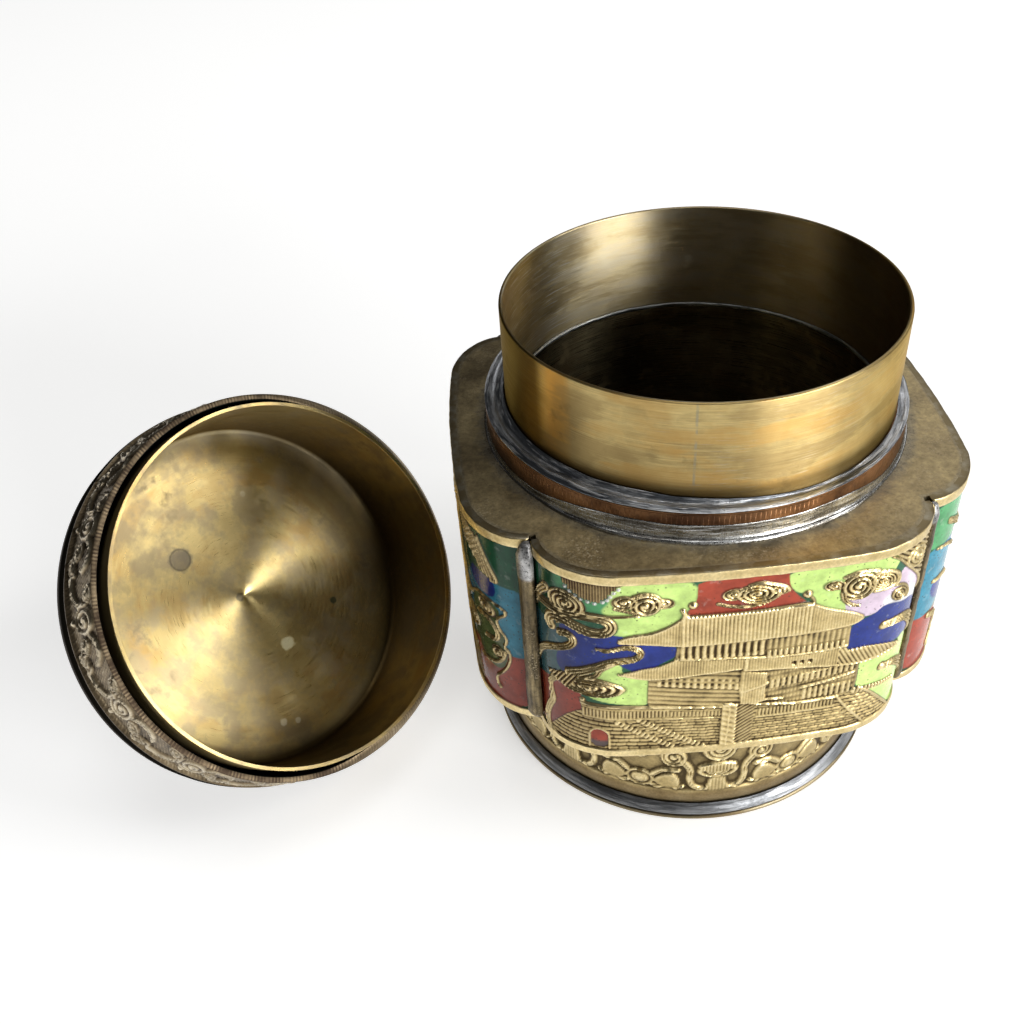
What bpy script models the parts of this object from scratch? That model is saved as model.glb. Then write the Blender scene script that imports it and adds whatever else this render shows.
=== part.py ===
"""Champleve enamel tea caddy, standing upright, with its lift-off lid lying beside it.

The body is four cast and enamelled panels on a lobed plan, closed above and below by lobed
plates, on a round cast foot. A round neck rises from a copper collar on the top plate. The
lid is a cup in a domed shell with a turned finial. It lies mouth up on its shoulder and finial.

Units are metres, +Z is up, and the origin is the middle of the underside of the base disc.
"""

import math

import bmesh
import bpy
from mathutils import Matrix, Vector

MM = 0.001
FIT_GAP = 0.3 * MM  # clearance between pieces that touch or are soldered

# Foot
BASE_RADIUS = 49.1 * MM
BASE_THICKNESS = 1.2 * MM
BASE_LEDGE = 2.3 * MM  # how far the base disc stands out past the foot
FOOT_RADIUS = BASE_RADIUS - BASE_LEDGE
FOOT_WALL = 2.0 * MM
FOOT_HEIGHT = 32.1 * MM  # floor to the underside of the panels
FOOT_MOULDING = 7.3 * MM  # smooth band below the foot's relief, from the floor
FOOT_RELIEF = 0.9 * MM
FOOT_MOTIFS = 8

# Body
BODY_HALF = 39.7 * MM  # middle of the body to its re-entrant corners
LOBE_DEPTH = 11.5 * MM  # how far the rounded ends of a panel stand out
LOBE_ROUND = 15.9 * MM  # length of a panel's rounded end along its face
LOBE_BOW = 3.0 * MM  # bow of the face between the rounded ends
PANEL_HEIGHT = 53.0 * MM
PANEL_THICKNESS = 1.7 * MM
ENAMEL_DEPTH = 0.8 * MM  # the enamel lies this far below the panel's rim
RIM_TOP = 2.4 * MM
RIM_BOTTOM = 2.2 * MM
RIM_SIDE = 0.7 * MM
PLATE_THICKNESS = 1.2 * MM
STRIP_LEG = 2.9 * MM  # legs of the corner strip at the front left, thick with solder
STRIP_LEG_THIN = 1.9 * MM  # legs of the other three corner strips
STRIP_LIFT = 2.2 * MM  # the strips start this far above the panels' lower edge

# Neck
NECK_RADIUS = 42.0 * MM
NECK_WALL = 0.85 * MM
NECK_HEIGHT = 22.8 * MM  # above the collar
COLLAR_WIDTH = 3.4 * MM
COLLAR_HEIGHT = 6.3 * MM
LINER_DROP = 2.7 * MM  # the liner's rim below the top of the collar
SOLDER_LEG = 1.9 * MM
FOOT_SOLDER = 1.3 * MM  # legs of the solder round the collar's foot
BEAD = 0.6 * MM

# Lid
LID_SLIP = 0.5 * MM  # clearance of the lid's cup over the neck
CUP_WALL = 0.82 * MM
CUP_DEPTH = 25.6 * MM
CUP_DISH = 3.0 * MM  # how much deeper the middle of the cup's floor is
CUP_FILLET = 1.0 * MM
SHELL_WALL = 1.2 * MM
SHELL_SETBACK = 4.5 * MM  # the shell's mouth behind the cup's rim
SHELL_GROOVE = 1.9 * MM  # open groove between the cup and the shell's mouth
SHELL_BULGE = 1.5 * MM  # how far the widest ring stands out past the mouth
BAND_HEIGHT = 10.1 * MM
BAND_RELIEF = 0.6 * MM
BAND_MOTIFS = 12
CUP_INTO_DOME = 5.0 * MM  # how far the cup's floor edge lies beyond the shell's widest ring
DOME_SPACE = 6.6 * MM  # the cup's floor to the top of the dome
DOME_SQUARENESS = 2.5
FINIAL_HEIGHT = 47.7 * MM
FINIAL_BULB = 12.0 * MM
FINIAL_STEM = 4.2 * MM
FINIAL_FOOT = 9.0 * MM
LID_PLACE = (-94.0 * MM, -9.3 * MM)  # middle of the lid's rim, seen from above
LID_HEADING = math.radians(-41.7)  # the way the lid's mouth faces

# Heights that follow
BASE_TOP = BASE_THICKNESS + FIT_GAP
PLATE_TOP = FOOT_HEIGHT + PANEL_HEIGHT
COLLAR_BOTTOM = PLATE_TOP + FIT_GAP
COLLAR_TOP = COLLAR_BOTTOM + COLLAR_HEIGHT
LINER_TOP = COLLAR_TOP - LINER_DROP
NECK_BOTTOM = LINER_TOP + FIT_GAP
RIM_HEIGHT = COLLAR_TOP + NECK_HEIGHT
COLLAR_RADIUS = NECK_RADIUS + FIT_GAP + COLLAR_WIDTH
CUP_RADIUS = NECK_RADIUS + LID_SLIP
WIDEST_DEPTH = CUP_DEPTH - CUP_INTO_DOME  # the shell's widest ring below the cup's rim
DOME_DEPTH = CUP_DEPTH + CUP_DISH + CUP_WALL + DOME_SPACE  # top of the dome below the rim
MOUTH_RADIUS = CUP_RADIUS + CUP_WALL + SHELL_GROOVE
WIDEST_RADIUS = MOUTH_RADIUS + SHELL_WALL + SHELL_BULGE
BAND_END = SHELL_SETBACK + BAND_HEIGHT

# Scene on the panels, in the panel's own plane: u runs along the face from its middle and z up
# from its lower edge. Each storey or roof is (bottom, top, left end below and above, right end
# below and above, height).
STAIR = (RIM_BOTTOM, 14.8 * MM, -2.4 * MM, -2.4 * MM, 4.2 * MM, 4.2 * MM, 1.3 * MM)
TERRACE = (RIM_BOTTOM, 14.4 * MM, -40.0 * MM, -32.5 * MM, 38.0 * MM, 27.0 * MM, 0.55 * MM)
LOWER_STOREY = (14.4 * MM, 24.4 * MM, -18.2 * MM, -18.2 * MM, 25.4 * MM, 25.4 * MM, 0.65 * MM)
LOWER_ROOF = (24.4 * MM, 29.0 * MM, -24.0 * MM, -13.0 * MM, 34.0 * MM, 21.0 * MM, 1.2 * MM)
UPPER_STOREY = (29.0 * MM, 33.4 * MM, -12.5 * MM, -12.5 * MM, 22.2 * MM, 22.2 * MM, 0.65 * MM)
UPPER_ROOF = (33.8 * MM, 41.6 * MM, -24.0 * MM, -11.6 * MM, 24.0 * MM, 13.2 * MM, 1.3 * MM)
YARD = (RIM_BOTTOM, 12.6 * MM, -28.0 * MM, -26.0 * MM, 28.0 * MM, 26.0 * MM, 0.55 * MM)
HALL = (12.6 * MM, 28.4 * MM, -17.0 * MM, -17.0 * MM, 17.0 * MM, 17.0 * MM, 0.65 * MM)
HALL_ROOF = (28.4 * MM, 40.4 * MM, -27.0 * MM, -7.0 * MM, 27.0 * MM, 7.0 * MM, 1.25 * MM)
PAGODA = (TERRACE, LOWER_STOREY, LOWER_ROOF, UPPER_STOREY, UPPER_ROOF, STAIR)
PAVILION = (YARD, HALL, HALL_ROOF)
# Clouds are (u, z, half width, half height).
PAGODA_CLOUDS = (
    (-36.0 * MM, 43.6 * MM, 6.0 * MM, 3.6 * MM),
    (-19.5 * MM, 45.3 * MM, 6.0 * MM, 2.7 * MM),
    (2.0 * MM, 46.0 * MM, 6.3 * MM, 2.8 * MM),
    (25.0 * MM, 44.8 * MM, 8.0 * MM, 3.2 * MM),
    (-31.5 * MM, 21.4 * MM, 8.0 * MM, 2.6 * MM),
    (-21.5 * MM, 31.6 * MM, 4.0 * MM, 2.6 * MM),
    (36.5 * MM, 30.0 * MM, 7.0 * MM, 2.4 * MM),
)
PAVILION_CLOUDS = (
    (-34.0 * MM, 43.6 * MM, 6.0 * MM, 3.0 * MM),
    (34.0 * MM, 43.6 * MM, 6.0 * MM, 3.0 * MM),
    (-35.0 * MM, 21.4 * MM, 5.0 * MM, 3.0 * MM),
    (35.0 * MM, 21.4 * MM, 5.0 * MM, 3.0 * MM),
)
CLOUD_HEIGHT = 1.0 * MM

# Fineness of round pieces, as the number of sides
NECK_SIDES = 56
BORE_SIDES = 48
RING_SIDES = 40
FOOT_SIDES = 64
SHELL_SIDES = 48
FINIAL_SIDES = 16
LOBE_STEPS = 8


def remove_everything():
    """Empty the scene of its objects."""
    for item in list(bpy.data.objects):
        bpy.data.objects.remove(item, do_unlink=True)


def make_collection():
    """Return a new collection for the caddy's parts."""
    group = bpy.data.collections.new("tea_caddy")
    bpy.context.scene.collection.children.link(group)
    return group


def make_material(name, colour, roughness, metallic):
    """Return a Principled material of one colour."""
    material = bpy.data.materials.new(name)
    material.use_nodes = True
    shader = material.node_tree.nodes["Principled BSDF"]
    shader.inputs["Base Color"].default_value = (*colour, 1.0)
    shader.inputs["Roughness"].default_value = roughness
    shader.inputs["Metallic"].default_value = metallic
    return material


def add_part(group, name, mesh, material):
    """Add a mesh to the caddy as the part of that name."""
    part = bpy.data.objects.new(name, mesh)
    group.objects.link(part)
    mesh.materials.clear()
    mesh.materials.append(material)
    return part


def mesh_from(name, bm):
    """Turn a bmesh into a mesh whose faces point outwards."""
    bmesh.ops.recalc_face_normals(bm, faces=bm.faces)
    mesh = bpy.data.meshes.new(name)
    bm.to_mesh(mesh)
    bm.free()
    return mesh


def add_turned(group, name, profile, sides, material, closed):
    """Turn a profile of (radius, height), down its outer side, about the Z axis."""
    outline = bpy.data.meshes.new(name)
    points = [(radius, 0.0, height) for radius, height in profile]
    edges = [(i, i + 1) for i in range(len(points) - 1)]
    if closed:
        edges.append((len(points) - 1, 0))
    outline.from_pydata(points, edges, [])
    part = add_part(group, name, outline, material)
    screw = part.modifiers.new("Turn", "SCREW")
    screw.steps = sides
    screw.render_steps = sides
    screw.use_merge_vertices = True
    screw.merge_threshold = 0.00001
    return part


def carve(part, relief):
    """Make a turned part a plain mesh and move its outer skin in or out by the relief."""
    evaluated = part.evaluated_get(bpy.context.evaluated_depsgraph_get())
    mesh = bpy.data.meshes.new_from_object(evaluated)
    part.modifiers.clear()
    part.data = mesh
    for vertex in mesh.vertices:
        radius = math.hypot(vertex.co.x, vertex.co.y)
        if radius > 0.0:
            angle = math.atan2(vertex.co.y, vertex.co.x)
            scale = (radius + relief(angle, vertex.co.z, radius)) / radius
            vertex.co.x *= scale
            vertex.co.y *= scale
    return part


def ring_profile(inner, outer, bottom, top):
    """Profile of a plain ring."""
    return [(inner, top), (outer, top), (outer, bottom), (inner, bottom)]


def lobe_outline(inset, steps):
    """Outer line of one panel in plan, from its left end to its right, moved in by the inset.

    The panel faces -Y. Its rounded ends are quarter ellipses, and the whole line is bowed.
    """
    half = BODY_HALF - inset
    middle = BODY_HALF - LOBE_ROUND
    ending = [math.pi / 2 * i / steps for i in range(steps + 1)]
    left = [-middle - (half - middle) * math.cos(turn) for turn in ending]
    across = [-middle + middle * i / (steps // 2) for i in range(1, steps // 2)]
    places = left + across + [0.0]
    points = []
    for x in places:
        past = max(0.0, (abs(x) - middle) / (half - middle))
        swell = math.sqrt(max(0.0, 1.0 - past * past))
        y = -half - LOBE_DEPTH * swell - LOBE_BOW * (1.0 - (x / half) ** 2)
        points.append((x, y))
    mirrored = [(-x, y) for x, y in reversed(points[:-1])]
    return points + mirrored


def plan_outline(inset, steps):
    """Closed lobed outline of the whole body, moved in by the inset."""
    side = [Vector((x, y, 0.0)) for x, y in lobe_outline(inset, steps)[:-1]]
    outline = []
    for quarter in range(4):
        turn = Matrix.Rotation(quarter * math.pi / 2, 3, "Z")
        outline.extend(turn @ point for point in side)
    return outline


def circle_points(radius, sides):
    """Points of a circle about the origin."""
    turns = [2 * math.pi * i / sides for i in range(sides)]
    return [Vector((radius * math.cos(a), radius * math.sin(a), 0.0)) for a in turns]


def add_plate(group, name, outlines, bottom, thickness, material):
    """Add a flat plate cut to closed outlines, the first outer and the rest holes."""
    curve = bpy.data.curves.new(name, "CURVE")
    curve.dimensions = "2D"
    curve.fill_mode = "BOTH"
    curve.extrude = thickness / 2
    for outline in outlines:
        spline = curve.splines.new("POLY")
        spline.points.add(len(outline) - 1)
        for point, place in zip(spline.points, outline):
            point.co = (place.x, place.y, 0.0, 1.0)
        spline.use_cyclic_u = True
    plate = bpy.data.objects.new(name, curve)
    curve.materials.append(material)
    group.objects.link(plate)
    plate.location.z = bottom + thickness / 2
    return plate


def lobe_frame():
    """Return places along the panel's outer line as (length from the middle, point, normal)."""
    outline = [Vector(point) for point in lobe_outline(0.0, 48)]
    lengths = [0.0]
    for before, after in zip(outline, outline[1:]):
        lengths.append(lengths[-1] + (after - before).length)
    half = lengths[-1] / 2
    frame = []
    for i, point in enumerate(outline):
        before = outline[max(0, i - 1)]
        after = outline[min(len(outline) - 1, i + 1)]
        along = (after - before).normalized()
        if i == 0:
            along = Vector((0.0, -1.0))
        if i == len(outline) - 1:
            along = Vector((0.0, 1.0))
        frame.append((lengths[i] - half, point, Vector((along.y, -along.x))))
    return frame


def place_on_lobe(frame, u, offset):
    """Point on the panel's line at length u, moved out by the offset."""
    for before, after in zip(frame, frame[1:]):
        if u <= after[0]:
            break
    share = min(1.0, max(0.0, (u - before[0]) / (after[0] - before[0])))
    point = before[1].lerp(after[1], share)
    normal = before[2].lerp(after[2], share).normalized()
    return point + normal * offset


def storey_height(storey, u, z):
    """Height of one storey or roof above the enamel at (u, z), with a hollow roof line."""
    bottom, top, left_low, left_high, right_low, right_high, height = storey
    if not bottom <= z <= top:
        return 0.0
    flare = (1.0 - (z - bottom) / (top - bottom)) ** 1.6
    left = left_high + (left_low - left_high) * flare
    right = right_high + (right_low - right_high) * flare
    return height if left <= u <= right else 0.0


def cloud_height(clouds, u, z):
    """Height of the nearest cloud above the enamel at (u, z)."""
    best = 0.0
    for middle_u, middle_z, half_u, half_z in clouds:
        away = math.hypot((u - middle_u) / half_u, (z - middle_z) / half_z)
        best = max(best, CLOUD_HEIGHT * max(0.0, 1.0 - away ** 2))
    return best


def panel_height(storeys, clouds, half, u, z):
    """Height of the panel's front above the enamel at (u, z)."""
    if z <= RIM_BOTTOM or z >= PANEL_HEIGHT - RIM_TOP or abs(u) >= half - RIM_SIDE:
        return ENAMEL_DEPTH
    built = max(storey_height(storey, u, z) for storey in storeys)
    return max(built, cloud_height(clouds, u, z))


def with_steps(levels):
    """Sorted levels, each doubled by one just past it, so that an edge there stays upright."""
    lip = 0.35 * MM
    doubled = [value for level in levels for value in (level, level + lip)]
    return sorted(set(doubled))


def panel_levels(storeys, clouds, half):
    """Return the lines along u and up z where the panel's front has its points."""
    ends = [storey[0] for storey in storeys] + [storey[1] for storey in storeys]
    steps_z = with_steps(sorted(set(ends)))
    cloud_z = [cloud[1] for cloud in clouds]
    top = PANEL_HEIGHT - RIM_TOP
    levels_z = sorted(steps_z + cloud_z + [0.0, top - 0.35 * MM, top, PANEL_HEIGHT])
    kept_z = [levels_z[0]]
    for level in levels_z[1:]:
        if level - kept_z[-1] > 0.3 * MM:
            kept_z.append(level)
    right = [4.2, 4.6, 8.0, 13.2, 17.2, 21.0, 25.5, 30.0, 34.5, 40.0]
    left = [2.4, 2.8, 7.0, 12.0, 18.3, 24.0, 29.0, 34.5, 40.0]
    edge = [half - RIM_SIDE - 0.3 * MM, half - RIM_SIDE, half]
    rightward = [value * MM for value in right] + edge
    leftward = [value * MM for value in left] + edge
    return [-value for value in reversed(leftward)] + [0.6 * MM] + rightward, kept_z


def add_panel(group, name, storeys, clouds, turn, material):
    """Add a bowed panel with its scene in relief, turned about the body's axis."""
    frame = lobe_frame()
    inset_end = FIT_GAP / 2
    half = frame[-1][0] - inset_end
    levels_u, levels_z = panel_levels(storeys, clouds, half)
    bm = bmesh.new()

    def point(u, z, offset):
        flat = place_on_lobe(frame, u, offset)
        return bm.verts.new((flat.x, flat.y, FOOT_HEIGHT + z))

    front = []
    for u in levels_u:
        heights = [panel_height(storeys, clouds, half, u, z) - ENAMEL_DEPTH for z in levels_z]
        front.append([point(u, z, height) for z, height in zip(levels_z, heights)])
    low = [point(u, 0.0, -PANEL_THICKNESS) for u in levels_u]
    high = [point(u, PANEL_HEIGHT, -PANEL_THICKNESS) for u in levels_u]
    for i in range(len(levels_u) - 1):
        for j in range(len(levels_z) - 1):
            bm.faces.new((front[i][j], front[i + 1][j], front[i + 1][j + 1], front[i][j + 1]))
        bm.faces.new((low[i + 1], low[i], high[i], high[i + 1]))
        bm.faces.new((front[i][0], low[i], low[i + 1], front[i + 1][0]))
        bm.faces.new((front[i][-1], front[i + 1][-1], high[i + 1], high[i]))
    bm.faces.new([*front[0], high[0], low[0]])
    bm.faces.new([*reversed(front[-1]), low[-1], high[-1]])
    panel = add_part(group, name, mesh_from(name, bm), material)
    panel.rotation_euler.z = turn
    return panel


def add_corner_strip(group, name, leg, turn, material):
    """Add the upright strip in one re-entrant corner, flat to the panels and round outside."""
    corner = BODY_HALF + FIT_GAP
    steps = 4
    round_side = []
    for i in range(steps + 1):
        angle = math.pi / 2 * i / steps
        round_side.append((corner + leg * math.sin(angle), corner + leg * math.cos(angle)))
    outline = [Vector((-corner, -corner, 0.0))]
    outline.extend(Vector((-x, -y, 0.0)) for x, y in round_side)
    height = PANEL_HEIGHT - STRIP_LIFT - FIT_GAP
    strip = add_plate(group, name, [outline], FOOT_HEIGHT + STRIP_LIFT, height, material)
    strip.rotation_euler.z = turn
    return strip


def foot_relief(angle, z, radius):
    """Relief of the foot: cups on stems with scrolls between them, over a smooth moulding."""
    if radius < FOOT_RADIUS - FOOT_WALL / 2:
        return 0.0
    if z <= FOOT_MOULDING or z >= FOOT_HEIGHT - 2.0 * MM:
        return 0.0
    share = (z - FOOT_MOULDING) / (FOOT_HEIGHT - FOOT_MOULDING)
    swing = math.cos(FOOT_MOTIFS * (angle + math.pi / 2))
    stem = max(0.0, swing) ** 2
    scroll = 0.5 + 0.5 * math.cos(2 * FOOT_MOTIFS * angle + 2 * math.pi * share)
    return FOOT_RELIEF * (max(stem, 0.8 * scroll) - 1.0)


def band_relief(angle, z, radius):
    """Relief of the lid's band: a running scroll on a sunk ground."""
    depth = -z
    if radius < MOUTH_RADIUS + SHELL_WALL / 2:
        return 0.0
    if depth <= SHELL_SETBACK + 1.0 * MM or depth >= BAND_END:
        return 0.0
    share = (depth - SHELL_SETBACK) / BAND_HEIGHT
    wave = 0.5 + 0.5 * math.cos(BAND_MOTIFS * angle + 2 * math.pi * share)
    return BAND_RELIEF * (wave - 1.0)


def shell_radius(depth):
    """Outer radius of the lid's shell at a depth below the cup's rim."""
    mouth = MOUTH_RADIUS + SHELL_WALL
    if depth <= WIDEST_DEPTH:
        share = (depth - SHELL_SETBACK) / (WIDEST_DEPTH - SHELL_SETBACK)
        return mouth + SHELL_BULGE * math.sin(share * math.pi / 2)
    share = (depth - WIDEST_DEPTH) / (DOME_DEPTH - WIDEST_DEPTH)
    power = DOME_SQUARENESS
    return WIDEST_RADIUS * max(0.0, 1.0 - share ** power) ** (1.0 / power)


def shell_depths():
    """Depths of the rings on the shell's outside, mouth to top."""
    band = [SHELL_SETBACK + share * BAND_HEIGHT for share in (0.0, 0.12, 0.5, 0.9, 1.0)]
    dome = [share * (DOME_DEPTH - WIDEST_DEPTH) + WIDEST_DEPTH for share in (0, 0.32, 0.55, 0.76, 0.92)]
    return band + dome


def shell_profile():
    """Profile of the lid's shell: inner side up, then outer side down, mouth up."""
    top = DOME_DEPTH - SHELL_WALL
    inner = [(0.0, -top)]
    for share in (0.9, 0.6, 0.0):
        depth = WIDEST_DEPTH + share * (DOME_DEPTH - WIDEST_DEPTH) - SHELL_WALL * share
        squeeze = (depth - WIDEST_DEPTH) / (top - WIDEST_DEPTH)
        power = DOME_SQUARENESS
        radius = (WIDEST_RADIUS - SHELL_WALL) * (1.0 - max(0.0, squeeze) ** power) ** (1.0 / power)
        inner.append((radius, -depth))
    inner.append((MOUTH_RADIUS, -SHELL_SETBACK))
    outer = [(shell_radius(depth), -depth) for depth in shell_depths()]
    return inner + outer + [(0.0, -DOME_DEPTH)]


def finial_profile():
    """Profile of the finial, from its tip to its foot on the dome, mouth of the lid up."""
    foot = DOME_DEPTH + FIT_GAP
    bulb = foot + FINIAL_HEIGHT - 1.15 * FINIAL_BULB
    profile = [(0.0, -foot), (FINIAL_FOOT, -foot), (FINIAL_FOOT, -foot - 2.0 * MM)]
    profile.append((FINIAL_STEM, -foot - 6.0 * MM))
    profile.append((FINIAL_STEM, -(foot + bulb - 0.9 * FINIAL_BULB) / 2))
    for share in (-0.86, -0.5, 0.0, 0.5, 0.86):
        radius = FINIAL_BULB * math.sqrt(1.0 - share * share)
        profile.append((radius, -bulb - share * FINIAL_BULB))
    profile.append((0.0, -foot - FINIAL_HEIGHT))
    return profile


def reach_down(profile, tilt):
    """How far a turned profile reaches below the lid's rim centre when its axis leans by tilt."""
    return max(-height * math.cos(tilt) + radius * math.sin(tilt) for radius, height in profile)


def resting_tilt():
    """Lean of the lid's axis when its shoulder and its finial both touch the floor."""
    low, high = 0.0, math.pi / 2
    shell = [(shell_radius(depth), -depth) for depth in shell_depths()]
    for _ in range(40):
        middle = (low + high) / 2
        if reach_down(finial_profile(), middle) > reach_down(shell, middle):
            low = middle
        else:
            high = middle
    return (low + high) / 2


def add_foot(group, brass, cast_brass, solder):
    """Add the base disc, its solder and the carved foot drum."""
    rim = 0.4 * MM
    disc = [(0.0, BASE_THICKNESS), (BASE_RADIUS, BASE_THICKNESS), (BASE_RADIUS, rim)]
    disc.extend([(BASE_RADIUS - rim, 0.0), (0.0, 0.0)])
    add_turned(group, "base_disc", disc, BORE_SIDES, brass, closed=False)
    inner = FOOT_RADIUS + FIT_GAP
    outer = BASE_RADIUS - rim
    fillet = [(inner, BASE_TOP + SOLDER_LEG), (outer, BASE_TOP + rim), (outer, BASE_TOP), (inner, BASE_TOP)]
    add_turned(group, "base_solder", fillet, RING_SIDES, solder, closed=True)
    relief_zone = FOOT_HEIGHT - FOOT_MOULDING
    shares = (0.015, 0.25, 0.5, 0.8)
    rows = [FOOT_MOULDING + share * relief_zone for share in reversed(shares)]
    profile = [(FOOT_RADIUS - FOOT_WALL, FOOT_HEIGHT - FIT_GAP), (FOOT_RADIUS, FOOT_HEIGHT - FIT_GAP)]
    profile.extend((FOOT_RADIUS, row) for row in rows)
    profile.extend([(FOOT_RADIUS, FOOT_MOULDING), (FOOT_RADIUS, BASE_TOP)])
    profile.append((FOOT_RADIUS - FOOT_WALL, BASE_TOP))
    drum = add_turned(group, "foot_drum", profile, FOOT_SIDES, cast_brass, closed=True)
    carve(drum, foot_relief)


def add_body(group, brass, enamelled, patinated, strip_metal):
    """Add the panels, the corner strips and the two lobed plates."""
    pagoda = (PAGODA, PAGODA_CLOUDS)
    pavilion = (PAVILION, PAVILION_CLOUDS)
    panels = (("front", pagoda), ("right", pavilion), ("back", pagoda), ("left", pavilion))
    for quarter, (side, (storeys, clouds)) in enumerate(panels):
        turn = quarter * math.pi / 2
        add_panel(group, "panel_" + side, storeys, clouds, turn, enamelled)
    corners = ("front_left", "front_right", "back_right", "back_left")
    for quarter, place in enumerate(corners):
        leg = STRIP_LEG_THIN if quarter else STRIP_LEG
        add_corner_strip(group, "corner_strip_" + place, leg, quarter * math.pi / 2, strip_metal)
    inset = PANEL_THICKNESS + FIT_GAP
    outline = plan_outline(inset, LOBE_STEPS)
    hole = circle_points(NECK_RADIUS + FIT_GAP, RING_SIDES)
    top = PLATE_TOP - PLATE_THICKNESS
    add_plate(group, "top_plate", [outline, hole], top, PLATE_THICKNESS, patinated)
    hidden = plan_outline(inset, LOBE_STEPS - 2)
    add_plate(group, "bottom_plate", [hidden], FOOT_HEIGHT, PLATE_THICKNESS, brass)


def add_neck(group, brass, copper, solder):
    """Add the collar, the neck, the liner and the solder between them."""
    inside = NECK_RADIUS + FIT_GAP
    collar = ring_profile(inside, COLLAR_RADIUS, COLLAR_BOTTOM, COLLAR_TOP)
    add_turned(group, "copper_collar", collar, RING_SIDES, copper, closed=True)
    tube = ring_profile(NECK_RADIUS - NECK_WALL, NECK_RADIUS, NECK_BOTTOM, RIM_HEIGHT)
    add_turned(group, "neck_tube", tube, NECK_SIDES, brass, closed=True)
    on_collar = COLLAR_TOP + FIT_GAP
    upper = [(inside, on_collar + SOLDER_LEG), (COLLAR_RADIUS, on_collar + 0.2 * MM)]
    upper.extend([(COLLAR_RADIUS, on_collar), (inside, on_collar)])
    add_turned(group, "neck_solder", upper, RING_SIDES, solder, closed=True)
    outside = COLLAR_RADIUS + FIT_GAP
    lower = [(outside, COLLAR_BOTTOM + FOOT_SOLDER), (outside + FOOT_SOLDER, COLLAR_BOTTOM)]
    lower.append((outside, COLLAR_BOTTOM))
    add_turned(group, "collar_solder", lower, RING_SIDES, solder, closed=True)
    bottom = FOOT_HEIGHT + PLATE_THICKNESS + FIT_GAP
    bore = NECK_RADIUS - NECK_WALL
    liner = [(0.0, bottom + NECK_WALL), (bore, bottom + NECK_WALL), (bore, LINER_TOP)]
    liner.extend([(NECK_RADIUS, LINER_TOP), (NECK_RADIUS, bottom), (0.0, bottom)])
    add_turned(group, "inner_liner", liner, BORE_SIDES, brass, closed=False)
    joint = LINER_TOP + FIT_GAP / 2
    bead = [(bore - FIT_GAP, joint + BEAD), (bore - FIT_GAP, joint - BEAD), (bore - FIT_GAP - BEAD, joint)]
    add_turned(group, "liner_solder", bead, RING_SIDES, solder, closed=True)


def add_lid(group, brass, cast_brass):
    """Add the lid's cup, shell and finial, lying mouth up on the shoulder and the finial."""
    tilt = resting_tilt()
    lid = bpy.data.objects.new("lid_rest", None)
    group.objects.link(lid)
    shell_rings = [(shell_radius(depth), -depth) for depth in shell_depths()]
    lid.location = (*LID_PLACE, reach_down(shell_rings, tilt))
    lid.rotation_euler = (0.0, tilt, LID_HEADING)
    floor = CUP_DEPTH + CUP_DISH
    rounding = CUP_RADIUS - CUP_FILLET
    cup = [(0.0, -floor), (rounding, -CUP_DEPTH - 0.2 * MM), (CUP_RADIUS, -CUP_DEPTH + CUP_FILLET)]
    cup.extend([(CUP_RADIUS, 0.0), (CUP_RADIUS + CUP_WALL, 0.0)])
    cup.append((CUP_RADIUS + CUP_WALL, -CUP_DEPTH + CUP_FILLET))
    cup.extend([(rounding, -CUP_DEPTH - CUP_WALL - 0.2 * MM), (0.0, -floor - CUP_WALL)])
    pieces = [add_turned(group, "lid_cup", cup, BORE_SIDES, brass, closed=False)]
    shell = add_turned(group, "lid_shell", shell_profile(), SHELL_SIDES, cast_brass, closed=False)
    pieces.append(carve(shell, band_relief))
    finial = finial_profile()
    pieces.append(add_turned(group, "lid_finial", finial, FINIAL_SIDES, brass, closed=False))
    for piece in pieces:
        piece.parent = lid


def main():
    """Build the caddy and its lid."""
    remove_everything()
    group = make_collection()
    brass = make_material("Brushed brass", (0.56, 0.40, 0.17), 0.32, 1.0)
    cast_brass = make_material("Cast brass", (0.48, 0.35, 0.15), 0.42, 1.0)
    enamelled = make_material("Brass with enamel", (0.50, 0.42, 0.18), 0.45, 0.6)
    patinated = make_material("Patinated brass", (0.25, 0.20, 0.11), 0.48, 0.9)
    strip_metal = make_material("Dull brass strip", (0.28, 0.23, 0.15), 0.5, 0.9)
    copper = make_material("Copper", (0.50, 0.24, 0.12), 0.4, 1.0)
    solder = make_material("Solder", (0.42, 0.44, 0.46), 0.4, 1.0)
    add_foot(group, brass, cast_brass, solder)
    add_body(group, brass, enamelled, patinated, strip_metal)
    add_neck(group, brass, copper, solder)
    add_lid(group, brass, cast_brass)


main()
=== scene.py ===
"""Looks of an enamelled brass tea caddy, standing open with its lid lying beside it.

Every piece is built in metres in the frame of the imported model. Relief is cast into the meshes, and
all finishes are made of shader nodes.
"""

import logging
import math
from collections.abc import Callable
from dataclasses import dataclass
from enum import Enum

import bmesh
import bpy
import numpy as np
from bpy.types import Material, Node, NodeSocket, NodeTree, Object
from mathutils import Matrix, Vector


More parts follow.
